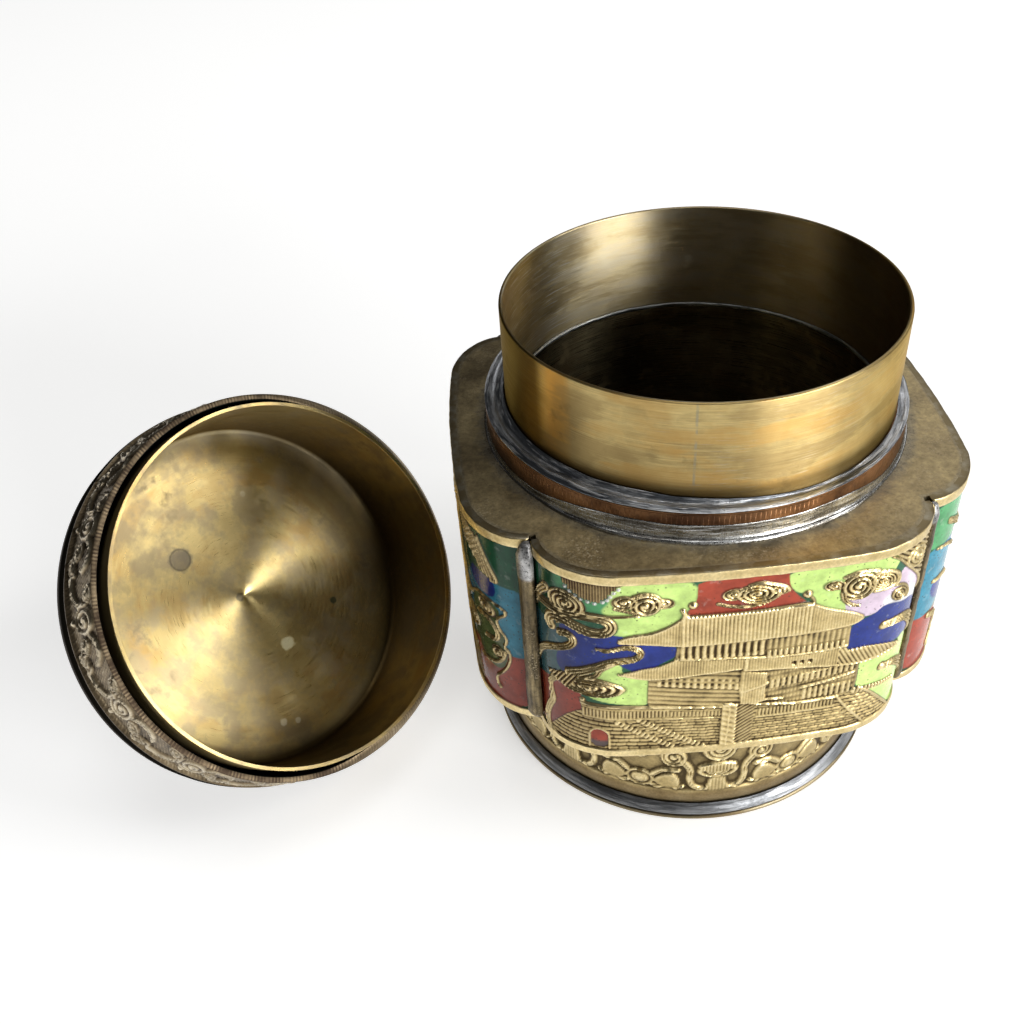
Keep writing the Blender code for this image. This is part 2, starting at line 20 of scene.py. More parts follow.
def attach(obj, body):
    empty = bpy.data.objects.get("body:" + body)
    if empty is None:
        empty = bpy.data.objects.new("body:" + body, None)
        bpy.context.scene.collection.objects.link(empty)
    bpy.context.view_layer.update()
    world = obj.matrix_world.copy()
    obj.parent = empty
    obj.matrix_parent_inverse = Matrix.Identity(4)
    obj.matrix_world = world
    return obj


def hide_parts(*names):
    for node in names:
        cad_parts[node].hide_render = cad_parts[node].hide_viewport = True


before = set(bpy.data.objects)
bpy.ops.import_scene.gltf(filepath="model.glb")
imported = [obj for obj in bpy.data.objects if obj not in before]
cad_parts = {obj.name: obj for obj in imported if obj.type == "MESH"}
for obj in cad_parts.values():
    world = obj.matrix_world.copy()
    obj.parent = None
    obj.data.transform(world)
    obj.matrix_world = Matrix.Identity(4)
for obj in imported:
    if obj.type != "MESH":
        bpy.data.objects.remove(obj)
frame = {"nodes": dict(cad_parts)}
log = logging.getLogger("tea_caddy")

MM = 0.001
Array = np.ndarray
Colour = tuple[float, float, float]
Line = list[tuple[float, float]]
Rule = Callable[[Array], Array]
Texture = Callable[[Array, Array], Array]
Shift = Callable[[Array, Array, Array], tuple[Array, Array]]


class Enamel(Enum):
    """Enamels of the panels, as linear colours."""

    LIME = (0.54, 0.74, 0.22)
    RED = (0.34, 0.055, 0.028)
    COBALT = (0.014, 0.030, 0.200)
    TURQUOISE = (0.040, 0.230, 0.330)
    SLATE = (0.045, 0.130, 0.145)
    GREEN = (0.018, 0.095, 0.045)
    JADE = (0.085, 0.330, 0.130)
    OLIVE = (0.110, 0.150, 0.050)
    LILAC = (0.62, 0.50, 0.60)
    WHITE = (0.80, 0.80, 0.76)
    SMOKE = (0.11, 0.075, 0.07)


# ---------------------------------------------------------------- shader nodes


class Nodes:
    """Builds one material's node tree."""

    def __init__(self, name: str) -> None:
        """Start a material with its output and shader.

        Args:
            name: Name of the material.
        """
        self.material = bpy.data.materials.new(name)
        self.material.use_nodes = True
        self.tree = self.material.node_tree
        self.shader = self.tree.nodes["Principled BSDF"]
        self.place = self.node("ShaderNodeTexCoord", {}).outputs["Object"]

    def put(self, node: Node, key: int | str, value: object) -> None:
        """Link a socket to an input, or set the input's value.

        Args:
            node: The node.
            key: Name or number of its input.
            value: A socket or a plain value.
        """
        if isinstance(value, NodeSocket):
            self.tree.links.new(value, node.inputs[key])
        else:
            node.inputs[key].default_value = value

    def node(self, kind: str, inputs: dict, **settings: object) -> Node:
        """Add a node.

        Args:
            kind: Blender's name of the node type.
            inputs: Values or sockets by input name or number.
            settings: Properties of the node.

        Returns:
            The new node.
        """
        node = self.tree.nodes.new(kind)
        for key, value in settings.items():
            setattr(node, key, value)
        for key, value in inputs.items():
            self.put(node, key, value)
        return node

    def maths(self, operation: str, a: object, b: object = 0.0) -> NodeSocket:
        """Return the result of a maths operation on two values."""
        return self.node("ShaderNodeMath", {0: a, 1: b}, operation=operation).outputs[0]

    def plus(self, a: object, b: object) -> NodeSocket:
        """Return the sum of two values."""
        return self.maths("ADD", a, b)

    def times(self, a: object, b: object) -> NodeSocket:
        """Return the product of two values."""
        return self.maths("MULTIPLY", a, b)

    def mix(self, share: object, a: object, b: object) -> NodeSocket:
        """Return a blend of two colours.

        Args:
            share: How much of the second colour, from 0 to 1.
            a: First colour.
            b: Second colour.

        Returns:
            The blend's socket.
        """
        a = (*a, 1.0) if isinstance(a, tuple) else a
        b = (*b, 1.0) if isinstance(b, tuple) else b
        return self.node("ShaderNodeMix", {0: share, 6: a, 7: b}, data_type="RGBA").outputs[2]

    def scale(self, colour: object, value: object) -> NodeSocket:
        """Return a colour multiplied by a value."""
        inputs = {0: colour, 3: value}
        return self.node("ShaderNodeVectorMath", inputs, operation="SCALE").outputs[0]

    def noise(self, size: float, detail: float = 4.0, stretch: Colour = (1, 1, 1), at: object = None) -> NodeSocket:
        """Return a noise value.

        Args:
            size: Size of its lumps, in metres.
            detail: Octaves of finer noise.
            stretch: How much finer it is along each axis.
            at: Coordinates, or None for the object's own.

        Returns:
            Socket with values about 0.5.
        """
        place = self.place if at is None else at
        mapped = self.node("ShaderNodeMapping", {0: place, 3: stretch}).outputs[0]
        values = {"Vector": mapped, "Scale": 1 / size, "Detail": detail, "Roughness": 0.6}
        return self.node("ShaderNodeTexNoise", values).outputs[0]

    def remap(self, value: object, low: float, high: float, to_low: float = 0.0, to_high: float = 1.0) -> NodeSocket:
        """Return a value moved from one range to another and held inside it."""
        return self.node("ShaderNodeMapRange", {0: value, 1: low, 2: high, 3: to_low, 4: to_high}).outputs[0]

    def attribute(self, name: str, output: str = "Fac") -> NodeSocket:
        """Return an attribute of the mesh."""
        return self.node("ShaderNodeAttribute", {}, attribute_name=name).outputs[output]

    def bump(self, height: object, distance: float, strength: float = 1.0, normal: object = None) -> NodeSocket:
        """Return a normal bent by a height whose full range is distance metres.

        Args:
            height: The height, from 0 to 1.
            distance: Its full range in metres.
            strength: Share of the effect.
            normal: A normal to start from.

        Returns:
            The normal's socket.
        """
        inputs = {"Strength": strength, "Distance": distance, "Height": height}
        if normal is not None:
            inputs["Normal"] = normal
        return self.node("ShaderNodeBump", inputs).outputs[0]

    def finish(self, **inputs: object) -> Material:
        """Set the shader's inputs, with underscores for spaces, and return the material.

        Args:
            inputs: Value or socket for each of the shader's inputs.

        Returns:
            The material.
        """
        for key, value in inputs.items():
            if isinstance(value, tuple) and len(value) == 3:
                value = (*value, 1.0)
            self.put(self.shader, key.replace("_", " "), value)
        return self.material


@dataclass(frozen=True)
class BrushedBrass:
    """Sheet brass brushed along the U direction of its UV map, with streaks, stains and scratches, and with painted
    shade and a painted reflection where a piece's attributes mark them.
    """

    name: str
    bright: Colour = (0.75, 0.585, 0.255)
    dull: Colour = (0.34, 0.24, 0.10)
    warm: Colour = (0.58, 0.355, 0.11)
    stain: Colour = (0.15, 0.11, 0.055)
    roughness: float = 0.35
    stained: float = 0.5
    anisotropy: float = 0.88
    scratched: float = 0.0
    grain: float = 1.0
    seam: float = 0.0
    mottled: float = 0.0
    dented: float = 0.0
    twist: float = 0.25
    spots: tuple[tuple[Colour, float, Colour], ...] = ()

    def marked(self, n: Nodes, colour: object) -> tuple[object, object]:
        """Return the colour and metallic share with the single spots, each a place, a radius and a colour.

        Args:
            n: The material's nodes.
            colour: The metal's colour.

        Returns:
            The colour and the metallic share.
        """
        metal: object = 1.0
        for spot, radius, tint in self.spots:
            away = n.node("ShaderNodeVectorMath", {0: n.place, 1: spot}, operation="DISTANCE").outputs[1]
            uneven = n.plus(away, n.remap(n.noise(0.0014, 3.0), 0.3, 0.7, -0.18 * radius, 0.18 * radius))
            cover = n.remap(uneven, radius * 0.72, radius * 1.12, 0.72, 0.0)
            colour = n.mix(cover, colour, tint)
            if sum(tint) > 1.4:
                metal = n.maths("SUBTRACT", metal, n.times(cover, 0.55))
            elif 0.0028 < radius < 0.004:
                edge = n.maths("ABSOLUTE", n.maths("SUBTRACT", away, radius * 0.84))
                colour = n.mix(n.remap(edge, 0.0, radius * 0.13, 0.55, 0.0), colour, n.scale(tint, 0.4))
        return colour, metal

    def material(self) -> Material:
        """Return the finish as a material.

        Returns:
            The material.
        """
        n = Nodes(self.name)
        uv = n.node("ShaderNodeUVMap", {}, uv_map="UVMap").outputs[0]
        lines = n.noise(0.004, 3.0, (0.16, 22.0, 1.0), uv)
        fine = n.noise(0.0012, 2.0, (0.09, 8.0, 1.0), uv)
        streak = n.noise(0.012, 5.0, (0.55, 2.2, 1.0), uv)
        cloud = n.noise(0.020, 5.0)
        patches = n.noise(0.0050, 4.0)
        share = n.remap(lines, 0.3, 0.7, -0.26 * self.grain, 0.26 * self.grain)
        share = n.plus(share, n.remap(cloud, 0.36, 0.64, 0.10, 0.90))
        colour = n.mix(share, self.dull, self.bright)
        warmed = n.times(n.remap(streak, 0.48, 0.57), n.remap(cloud, 0.35, 0.62, 0.9, 0.2))
        # Warm streaks from the noise, and a painted orange reflection where the piece's attribute marks one.
        colour = n.mix(n.maths("MAXIMUM", warmed, n.attribute("painted_orange_reflection")), colour, self.warm)
        colour = n.mix(n.times(n.remap(streak, 0.49, 0.42), 0.6 * self.grain), colour, n.scale(self.dull, 1.1))
        stains = n.times(n.remap(patches, 0.57, 0.72), n.remap(cloud, 0.42, 0.62, 1.0, 0.2))
        colour = n.mix(n.times(stains, self.stained), colour, self.stain)
        rough = n.plus(n.remap(fine, 0.3, 0.7, self.roughness - 0.07, self.roughness + 0.09), n.times(stains, 0.2))
        if self.mottled:
            bloom = n.remap(n.noise(0.0075, 6.0), 0.44, 0.60, 0.0, self.mottled)
            colour = n.mix(bloom, colour, (0.35, 0.285, 0.175))
            rough = n.plus(rough, n.times(bloom, 0.12))
        if self.scratched:
            rub = n.noise(0.0016, 2.0, (0.30, 5.0, 1.0), uv)
            marks = n.times(n.remap(rub, 0.58, 0.66), n.remap(n.noise(0.022, 3.0), 0.46, 0.56, 0.0, self.scratched))
            colour = n.mix(marks, colour, (0.62, 0.60, 0.52))
            rough = n.plus(rough, n.times(marks, 0.25))
        if self.seam:
            across = n.node("ShaderNodeSeparateXYZ", {0: n.place}).outputs
            turn = n.maths("ARCTAN2", across[1], across[0])
            away = n.maths("ABSOLUTE", n.maths("SUBTRACT", turn, self.seam))
            line = n.times(n.remap(away, 0.003, 0.008, 0.55, 0.0), n.remap(n.noise(0.002), 0.4, 0.55))
            colour = n.mix(line, colour, (0.34, 0.34, 0.27))
        haze = n.times(n.attribute("haze"), n.remap(streak, 0.4, 0.6, 0.3, 0.8))
        colour = n.mix(haze, colour, (0.46, 0.42, 0.31))
        rough = n.plus(rough, n.times(haze, 0.06))
        rubbed = n.times(n.remap(n.noise(0.0022, 3.0, (0.22, 6.0, 1.0), uv), 0.55, 0.66), n.attribute("rubbed"))
        colour = n.mix(rubbed, colour, (0.66, 0.64, 0.55))
        # Painted shade, with some tarnish: darker and rougher where the piece's attribute marks it.
        colour = n.mix(n.attribute("shade_and_tarnish"), colour, n.scale(self.warm, 0.13))
        rough = n.plus(rough, n.times(n.attribute("shade_and_tarnish"), 0.10))
        colour, metal = self.marked(n, colour)
        height = n.plus(n.times(fine, 0.6), n.times(lines, 0.4))
        tangent = n.node("ShaderNodeTangent", {}, direction_type="UV_MAP", uv_map="UVMap").outputs[0]
        beaten = n.bump(n.noise(0.015, 1.0), self.dented) if self.dented else None
        return n.finish(
            Base_Color=colour,
            Metallic=metal,
            Roughness=rough,
            Normal=n.bump(height, 0.00004, 0.6 * self.grain, beaten),
            Anisotropic=self.anisotropy,
            Anisotropic_Rotation=self.twist,
            Tangent=tangent,
            Specular_Tint=(0.84, 0.70, 0.46),
        )


@dataclass(frozen=True)
class CastBrass:
    """Cast brass, dark in its recesses and rubbed bright on its crests, plain or with enamel."""

    name: str
    crest: Colour = (0.84, 0.69, 0.375)
    middle: Colour = (0.54, 0.415, 0.19)
    recess: Colour = (0.066, 0.045, 0.022)
    roughness: float = 0.36
    enamelled: bool = False
    blackened: bool = False

    def brass(self, n: Nodes) -> tuple[NodeSocket, NodeSocket, NodeSocket]:
        """Return the metal's colour, roughness and bump height.

        Args:
            n: The material's nodes.

        Returns:
            Sockets of the colour, roughness and height.
        """
        grime = n.noise(0.006, 5.0)
        speck = n.noise(0.0006, 3.0)
        worn = n.plus(n.attribute("wear"), n.remap(grime, 0.3, 0.7, -0.28, 0.22))
        colour = n.mix(n.remap(worn, -0.80, -0.05), self.recess, self.middle)
        colour = n.mix(n.remap(worn, -0.05, 0.75), colour, self.crest)
        # The tone attribute browns and darkens the metal; at the panels' ends it carries painted shade.
        brown = n.attribute("tone")
        colour = n.mix(n.times(brown, 0.85), colour, n.mix(0.5, n.scale(colour, 0.35), (0.10, 0.045, 0.03)))
        colour = n.scale(colour, n.remap(speck, 0.3, 0.7, 0.82, 1.15))
        return colour, n.remap(worn, -0.8, 0.7, self.roughness + 0.2, self.roughness - 0.04), n.times(speck, 0.5)

    def glass(self, n: Nodes) -> tuple[NodeSocket, NodeSocket]:
        """Return the enamel's colour, pitted and darker along the metal, and its bump height.

        Args:
            n: The material's nodes.

        Returns:
            Sockets of the colour and height.
        """
        mottle = n.noise(0.0035, 5.0)
        glass = n.scale(n.attribute("tint", "Color"), n.remap(mottle, 0.3, 0.7, 0.66, 1.16))
        milky = n.times(n.remap(n.noise(0.0022, 6.0), 0.60, 0.74), 0.22)
        glass = n.mix(milky, glass, (0.62, 0.66, 0.58))
        pits = n.node("ShaderNodeTexVoronoi", {"Vector": n.place, "Scale": 1000.0, "Randomness": 1.0}).outputs[0]
        pitted = n.times(n.remap(pits, 0.13, 0.25, 1.0, 0.0), n.remap(n.noise(0.0035), 0.42, 0.56))
        glass = n.mix(n.times(pitted, 0.8), glass, (0.03, 0.035, 0.02))
        edge = n.remap(n.attribute("metal"), -0.34, -0.06, 0.0, 0.62)
        # Enamel darker with the tone attribute, which at the panels' ends carries painted shade.
        glass = n.scale(glass, n.remap(n.attribute("tone"), 0.0, 1.0, 1.0, 0.55))
        return n.mix(edge, glass, (0.05, 0.028, 0.018)), n.maths("SUBTRACT", n.times(mottle, 0.7), n.times(pitted, 0.5))

    def material(self) -> Material:
        """Return the finish as a material.

        Returns:
            The material.
        """
        n = Nodes(self.name)
        colour, rough, height = self.brass(n)
        metallic: object = 1.0
        specular = 0.5
        if self.enamelled:
            inside = n.remap(n.attribute("metal"), -0.06, 0.06)
            glass, relief = self.glass(n)
            colour = n.mix(inside, glass, colour)
            metallic = inside
            rough = n.node("ShaderNodeMix", {0: inside, 2: 0.17, 3: rough}, data_type="FLOAT").outputs[0]
            height = n.plus(height, relief)
            film = n.attribute("film")
            smear = n.noise(0.003, 5.0)
            colour = n.mix(film, colour, n.mix(n.remap(smear, 0.44, 0.66), (0.25, 0.195, 0.105), (0.38, 0.34, 0.25)))
            rough = n.node("ShaderNodeMix", {0: film, 2: rough, 3: 0.42}, data_type="FLOAT").outputs[0]
            specular = 0.22
        if self.blackened:
            black = n.remap(n.attribute("tone"), 0.55, 0.95)
            patina = n.remap(n.attribute("tone"), 1.1, 1.4, 0.0, 0.8)
            colour = n.mix(patina, n.mix(black, colour, (0.009, 0.008, 0.006)), (0.020, 0.075, 0.085))
            metallic = n.maths("SUBTRACT", 1.0, black)
            specular = 0.0
        return n.finish(
            Base_Color=colour, Metallic=metallic, Roughness=rough, Normal=n.bump(height, 0.00006, 0.5),
            Specular_IOR_Level=specular,
        )


@dataclass(frozen=True)
class Solder:
    """Grey tin solder, run on by hand along the U direction of the UV map."""

    name: str
    dark: Colour = (0.120, 0.130, 0.145)
    light: Colour = (0.74, 0.76, 0.79)
    roughness: float = 0.36
    bright: float = 0.8
    lumpy: float = 0.5

    def material(self) -> Material:
        """Return the finish as a material.

        Returns:
            The material.
        """
        n = Nodes(self.name)
        uv = n.node("ShaderNodeUVMap", {}, uv_map="UVMap").outputs[0]
        flow = n.noise(0.0034, 5.0, (0.22, 2.2, 1.0), uv)
        lumps = n.noise(0.0026, 3.0, (0.25, 2.4, 1.0), uv)
        fine = n.noise(0.0007, 3.0)
        clean = n.times(n.remap(flow, 0.42, 0.60), n.maths("SUBTRACT", 1.0, n.attribute("grime")))
        colour = n.mix(clean, self.dark, self.light)
        # Near-white on the lumps' crests: pale tin, and partly a painted highlight.
        colour = n.mix(n.times(n.remap(lumps, 0.52, 0.62), self.bright), colour, (0.86, 0.87, 0.88))
        colour = n.mix(n.remap(fine, 0.64, 0.74, 0.0, 0.6), colour, (0.02, 0.02, 0.02))
        rough = n.remap(fine, 0.3, 0.7, self.roughness - 0.06, self.roughness + 0.12)
        height = n.plus(n.plus(flow, lumps), n.times(fine, 0.08))
        return n.finish(Base_Color=colour, Metallic=1.0, Roughness=rough, Normal=n.bump(height, 0.0005, self.lumpy))


@dataclass(frozen=True)
class DullBrass:
    """Old sheet brass with a brown film, pale specks, and solder where the piece is marked."""

    name: str
    film: Colour = (0.230, 0.176, 0.092)
    light: Colour = (0.56, 0.445, 0.235)
    roughness: float = 0.39
    metallic: float = 0.75
    tin: Colour = (0.24, 0.225, 0.185)
    collar: float = 0.0
    dirty: float = 0.5
    streaked: float = 0.0

    def material(self) -> Material:
        """Return the finish as a material.

        Returns:
            The material.
        """
        n = Nodes(self.name)
        cloud = n.noise(0.016, 6.0)
        patch = n.noise(0.010, 4.0)
        dust = n.noise(0.00042, 2.0)
        dirt = n.noise(0.0016, 5.0)
        colour = n.mix(n.remap(cloud, 0.34, 0.68), self.film, self.light)
        colour = n.mix(n.times(n.remap(dirt, 0.54, 0.70), self.dirty), colour, n.scale(self.film, 0.35))
        if self.streaked:
            upright = n.noise(0.0011, 4.0, (1.0, 1.0, 0.10))
            colour = n.scale(colour, n.remap(upright, 0.36, 0.64, 1.0 - self.streaked, 1.0 + self.streaked))
        colour = n.scale(colour, n.remap(n.noise(0.0008, 3.0), 0.3, 0.7, 0.74, 1.28))
        specks = n.times(n.remap(dust, 0.56, 0.66), n.remap(patch, 0.46, 0.60, 0.08, 0.9))
        colour = n.mix(n.times(specks, 0.8), colour, (0.56, 0.47, 0.32))
        tinned = n.attribute("solder")
        smear = n.noise(0.0024, 5.0)
        if self.collar:
            across = n.node("ShaderNodeSeparateXYZ", {0: n.place}).outputs
            reach = n.maths("SQRT", n.plus(n.times(across[0], across[0]), n.times(across[1], across[1])))
            reach = n.plus(reach, n.remap(smear, 0.3, 0.7, -0.0016, 0.0016))
            near = n.remap(reach, self.collar, self.collar + 0.0022, 0.6, 0.0)
            tinned = n.maths("MAXIMUM", tinned, near)
        tin = n.mix(n.remap(smear, 0.36, 0.62), n.scale(self.tin, 0.6), n.scale(self.tin, 1.5))
        tin = n.scale(tin, n.remap(dust, 0.54, 0.64, 1.0, 0.25))
        colour = n.mix(tinned, colour, tin)
        rough = n.plus(n.remap(cloud, 0.3, 0.7, self.roughness - 0.07, self.roughness + 0.12), n.times(specks, 0.3))
        height = n.plus(dust, n.times(dirt, 1.5))
        return n.finish(Base_Color=colour, Metallic=self.metallic, Roughness=rough, Normal=n.bump(height, 0.0001, 0.45))


@dataclass(frozen=True)
class OldCopper:
    """Reddish copper with darker, dirty flutes."""

    name: str

    def material(self) -> Material:
        """Return the finish as a material.

        Returns:
            The material.
        """
        n = Nodes(self.name)
        cloud = n.noise(0.012, 5.0)
        fine = n.noise(0.0008, 3.0)
        colour = n.mix(n.remap(cloud, 0.35, 0.66), (0.085, 0.040, 0.021), (0.40, 0.205, 0.095))
        colour = n.mix(n.remap(fine, 0.5, 0.75, 0.0, 0.6), colour, (0.07, 0.045, 0.028))
        rough = n.remap(fine, 0.3, 0.7, 0.30, 0.48)
        return n.finish(Base_Color=colour, Metallic=1.0, Roughness=rough, Normal=n.bump(fine, 0.0001, 0.5))


@dataclass(frozen=True)
class Floor:
    """Plain pale floor."""

    name: str = "pale_floor"

    def material(self) -> Material:
        """Return the finish as a material.

        Returns:
            The material.
        """
        n = Nodes(self.name)
        pale = (0.76, 0.76, 0.755)
        return n.finish(
            Base_Color=pale, Roughness=0.9, Specular_IOR_Level=0.1, Emission_Color=pale, Emission_Strength=0.72
        )


# ---------------------------------------------------------------- meshes


def smooth_step(value: Array) -> Array:
    """Return a smooth ramp from 0 to 1 over values 0 to 1."""
    t = np.clip(value, 0.0, 1.0)
    return t * t * (3 - 2 * t)


def moved(points: Array, matrix: Matrix) -> Array:
    """Return points moved by a matrix."""
    m = np.array(matrix)
    return points @ m[:3, :3].T + m[:3, 3]


def spin(quarter: int) -> Array:
    """Return the matrix of a turn by quarters about +Z."""
    turn = quarter * math.pi / 2
    return np.array([[math.cos(turn), -math.sin(turn), 0], [math.sin(turn), math.cos(turn), 0], [0, 0, 1]])


def polar(radius: Array | float, angle: Array, level: Array | float) -> Array:
    """Return points from their radii, angles and heights."""
    x = radius * np.cos(angle)
    return np.stack([x, radius * np.sin(angle), np.broadcast_to(level, x.shape)], -1)


def net(rows: int, columns: int, ring: bool, tube: bool) -> Array:
    """Return the quads between points that are numbered row by row.

    Args:
        rows: Number of rows.
        columns: Points in a row.
        ring: Whether the last row joins the first.
        tube: Whether each row's last point joins its first.

    Returns:
        Corners of each quad, one row each.
    """
    i, j = np.meshgrid(np.arange(rows - (not ring)), np.arange(columns - (not tube)), indexing="ij")
    i, j = i.ravel(), j.ravel()
    i2, j2 = (i + 1) % rows, (j + 1) % columns
    return np.stack([i * columns + j, i2 * columns + j, i2 * columns + j2, i * columns + j2], -1)


def show(name: str, data: bpy.types.ID | None) -> Object:
    """Put a mesh, lamp or camera into the scene and return its object.

    Args:
        name: Name of the object.
        data: What it shows.

    Returns:
        The new object.
    """
    piece = bpy.data.objects.new(name, data)
    bpy.context.scene.collection.objects.link(piece)
    return piece


def make_mesh(
    name: str, points: Array, quads: Array, uv: Array | None = None, sharp: float = 40.0,
    extra: list[list[int]] | None = None,
) -> Object:
    """Make a smooth-shaded object from points and quads.

    Args:
        name: Name of the piece.
        points: Places, one row each, in metres.
        quads: Corners of each quad, one row each.
        uv: UV of each corner, one row each, or None.
        sharp: Angle in degrees above which an edge is sharp.
        extra: More faces, with any number of corners.

    Returns:
        The new object, linked to the scene.
    """
    mesh = bpy.data.meshes.new(name)
    faces = quads.tolist() + (extra or [])
    mesh.from_pydata(points.tolist(), [], faces)
    mesh.polygons.foreach_set("use_smooth", np.ones(len(faces), dtype=bool))
    mesh.set_sharp_from_angle(angle=math.radians(sharp))
    if uv is not None:
        layer = mesh.uv_layers.new(name="UVMap")
        layer.data.foreach_set("uv", uv.astype(np.float32).ravel())
    return show(name, mesh)


def dress(piece: Object, material: Material, slot: str, *nodes: str) -> Object:
    """Give a piece its finish and its place in the model.

    Args:
        piece: The finished piece.
        material: Its finish.
        slot: The record's material slot; not used.
        nodes: CAD nodes that it stands for.

    Returns:
        The same piece.
    """
    piece.data.materials.clear()
    piece.data.materials.append(material)
    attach(piece, "root")
    if nodes:
        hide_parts(*nodes)
    log.info("%s: %d faces", piece.name, len(piece.data.polygons))
    return piece


def rounded(profile: Line, radius: float, closed: bool = True) -> Line:
    """Return a profile with its corners rounded.

    Args:
        profile: Corners as (radius, height).
        radius: Rounding, held to a third of the shorter side.
        closed: Whether the last corner joins the first.

    Returns:
        The rounded profile.
    """
    out: Line = []
    count = len(profile)
    steps = 3
    for i, corner in enumerate(profile):
        if not closed and i in (0, count - 1):
            out.append(corner)
            continue
        here = Vector(corner)
        before = Vector(profile[i - 1]) - here
        after = Vector(profile[(i + 1) % count]) - here
        reach = min(radius, before.length / 3, after.length / 3)
        start, end = here + before.normalized() * reach, here + after.normalized() * reach
        for k in range(steps + 1):
            t = k / steps
            point = start * (1 - t) ** 2 + here * (2 * t * (1 - t)) + end * t**2
            out.append((point.x, point.y))
    return out


@dataclass
class Turned:
    """A piece turned about an axis, from its profile in millimetres."""

    name: str
    profile: Line
    sides: int = 192
    closed: bool = True
    frame: Matrix | None = None

    def build(self, shift: Shift | None = None) -> Object:
        """Build the piece.

        Args:
            shift: Function of angle, radius and height arrays that returns moved radii and heights.

        Returns:
            The new object, with a UV map in metres round and along the profile.
        """
        rows = np.array(self.profile, dtype=float) * MM
        turn = np.linspace(0, 2 * math.pi, self.sides, endpoint=False)
        angle, radius = np.meshgrid(turn, rows[:, 0], indexing="ij")
        height = np.meshgrid(turn, rows[:, 1], indexing="ij")[1]
        if shift is not None:
            radius, height = shift(angle, radius, height)
        points = polar(radius, angle, height).reshape(-1, 3)
        quads = net(self.sides, len(rows), True, self.closed)[:, [0, 3, 2, 1]]
        i, j = np.divmod(quads[:, 0], len(rows))
        step = np.hypot(*(np.roll(rows, -1, 0) - rows).T)
        run = np.concatenate([[0], np.cumsum(step)])
        around = float(rows[:, 0].max())
        u0, u1 = i / self.sides * 2 * math.pi * around, (i + 1) / self.sides * 2 * math.pi * around
        v0, v1 = run[j], run[j + 1]
        uv = np.stack([np.stack(corner, -1) for corner in ((u0, v0), (u0, v1), (u1, v1), (u1, v0))], 1)
        if self.frame is not None:
            points = moved(points, self.frame)
        return weld(make_mesh(self.name, points, quads, uv))


def weld(piece: Object) -> Object:
    """Merge the doubled points at a turned piece's poles, and drop faces with no area.

    Args:
        piece: The piece.

    Returns:
        The same piece.
    """
    bm = bmesh.new()
    bm.from_mesh(piece.data)
    bmesh.ops.remove_doubles(bm, verts=bm.verts, dist=1e-7)
    bmesh.ops.dissolve_degenerate(bm, dist=1e-8, edges=bm.edges)
    bmesh.ops.recalc_face_normals(bm, faces=bm.faces)
    bm.to_mesh(piece.data)
    bm.free()
    return piece


def write(piece: Object, name: str, values: Array) -> None:
    """Write an attribute with a number for each point."""
    data = np.ascontiguousarray(values, dtype=np.float32).ravel()
    piece.data.attributes.new(name, "FLOAT", "POINT").data.foreach_set("value", data)


def mark(piece: Object, name: str, rule: Rule) -> None:
    """Write an attribute that a rule gives from the points' places.

    Args:
        piece: The piece.
        name: Name of the attribute.
        rule: Function from places to numbers.
    """
    flat = np.zeros(len(piece.data.vertices) * 3, np.float32)
    piece.data.vertices.foreach_get("co", flat)
    write(piece, name, rule(flat.reshape(-1, 3)))


def ripple(seed: int, waves: int, size: float) -> Rule:
    """Return a smooth random function of angle, as hand work gives.

    Args:
        seed: Seed of the random numbers.
        waves: Highest number of waves in a turn.
        size: Rough size of the result.

    Returns:
        Function from an array of angles to values.
    """
    rng = np.random.default_rng(seed)
    power = rng.normal(size=waves) / np.sqrt(np.arange(1, waves + 1))
    phase = rng.uniform(0, 2 * math.pi, waves)

    def value(angle: Array) -> Array:
        """Return the ripple at these angles.

        Args:
            angle: Angles in radians.

        Returns:
            The ripple there.
        """
        total = np.zeros_like(angle)
        for k in range(waves):
            total += power[k] * np.cos((k + 1) * angle + phase[k])
        return size * total / 2.2

    return value


# ---------------------------------------------------------------- relief


def chaikin(line: Line, rounds: int = 2, closed: bool = False) -> Array:
    """Return a line with its corners cut smooth.

    Args:
        line: Corners of the line.
        rounds: Times that its corners are cut.
        closed: Whether it is an outline.

    Returns:
        The smooth line, one point a row.
    """
    p = np.array(line, dtype=float)
    for _ in range(rounds):
        q = np.concatenate([p, p[:1]]) if closed else p
        a, b = q[:-1] * 0.75 + q[1:] * 0.25, q[:-1] * 0.25 + q[1:] * 0.75
        mid = np.stack([a, b], 1).reshape(-1, 2)
        p = mid if closed else np.concatenate([p[:1], mid, p[-1:]])
    return p


def wave(phase: Array) -> Array:
    """Return rounded ridges: 1 at whole numbers of phase, 0 between."""
    return 0.5 + 0.5 * np.cos(2 * math.pi * phase)


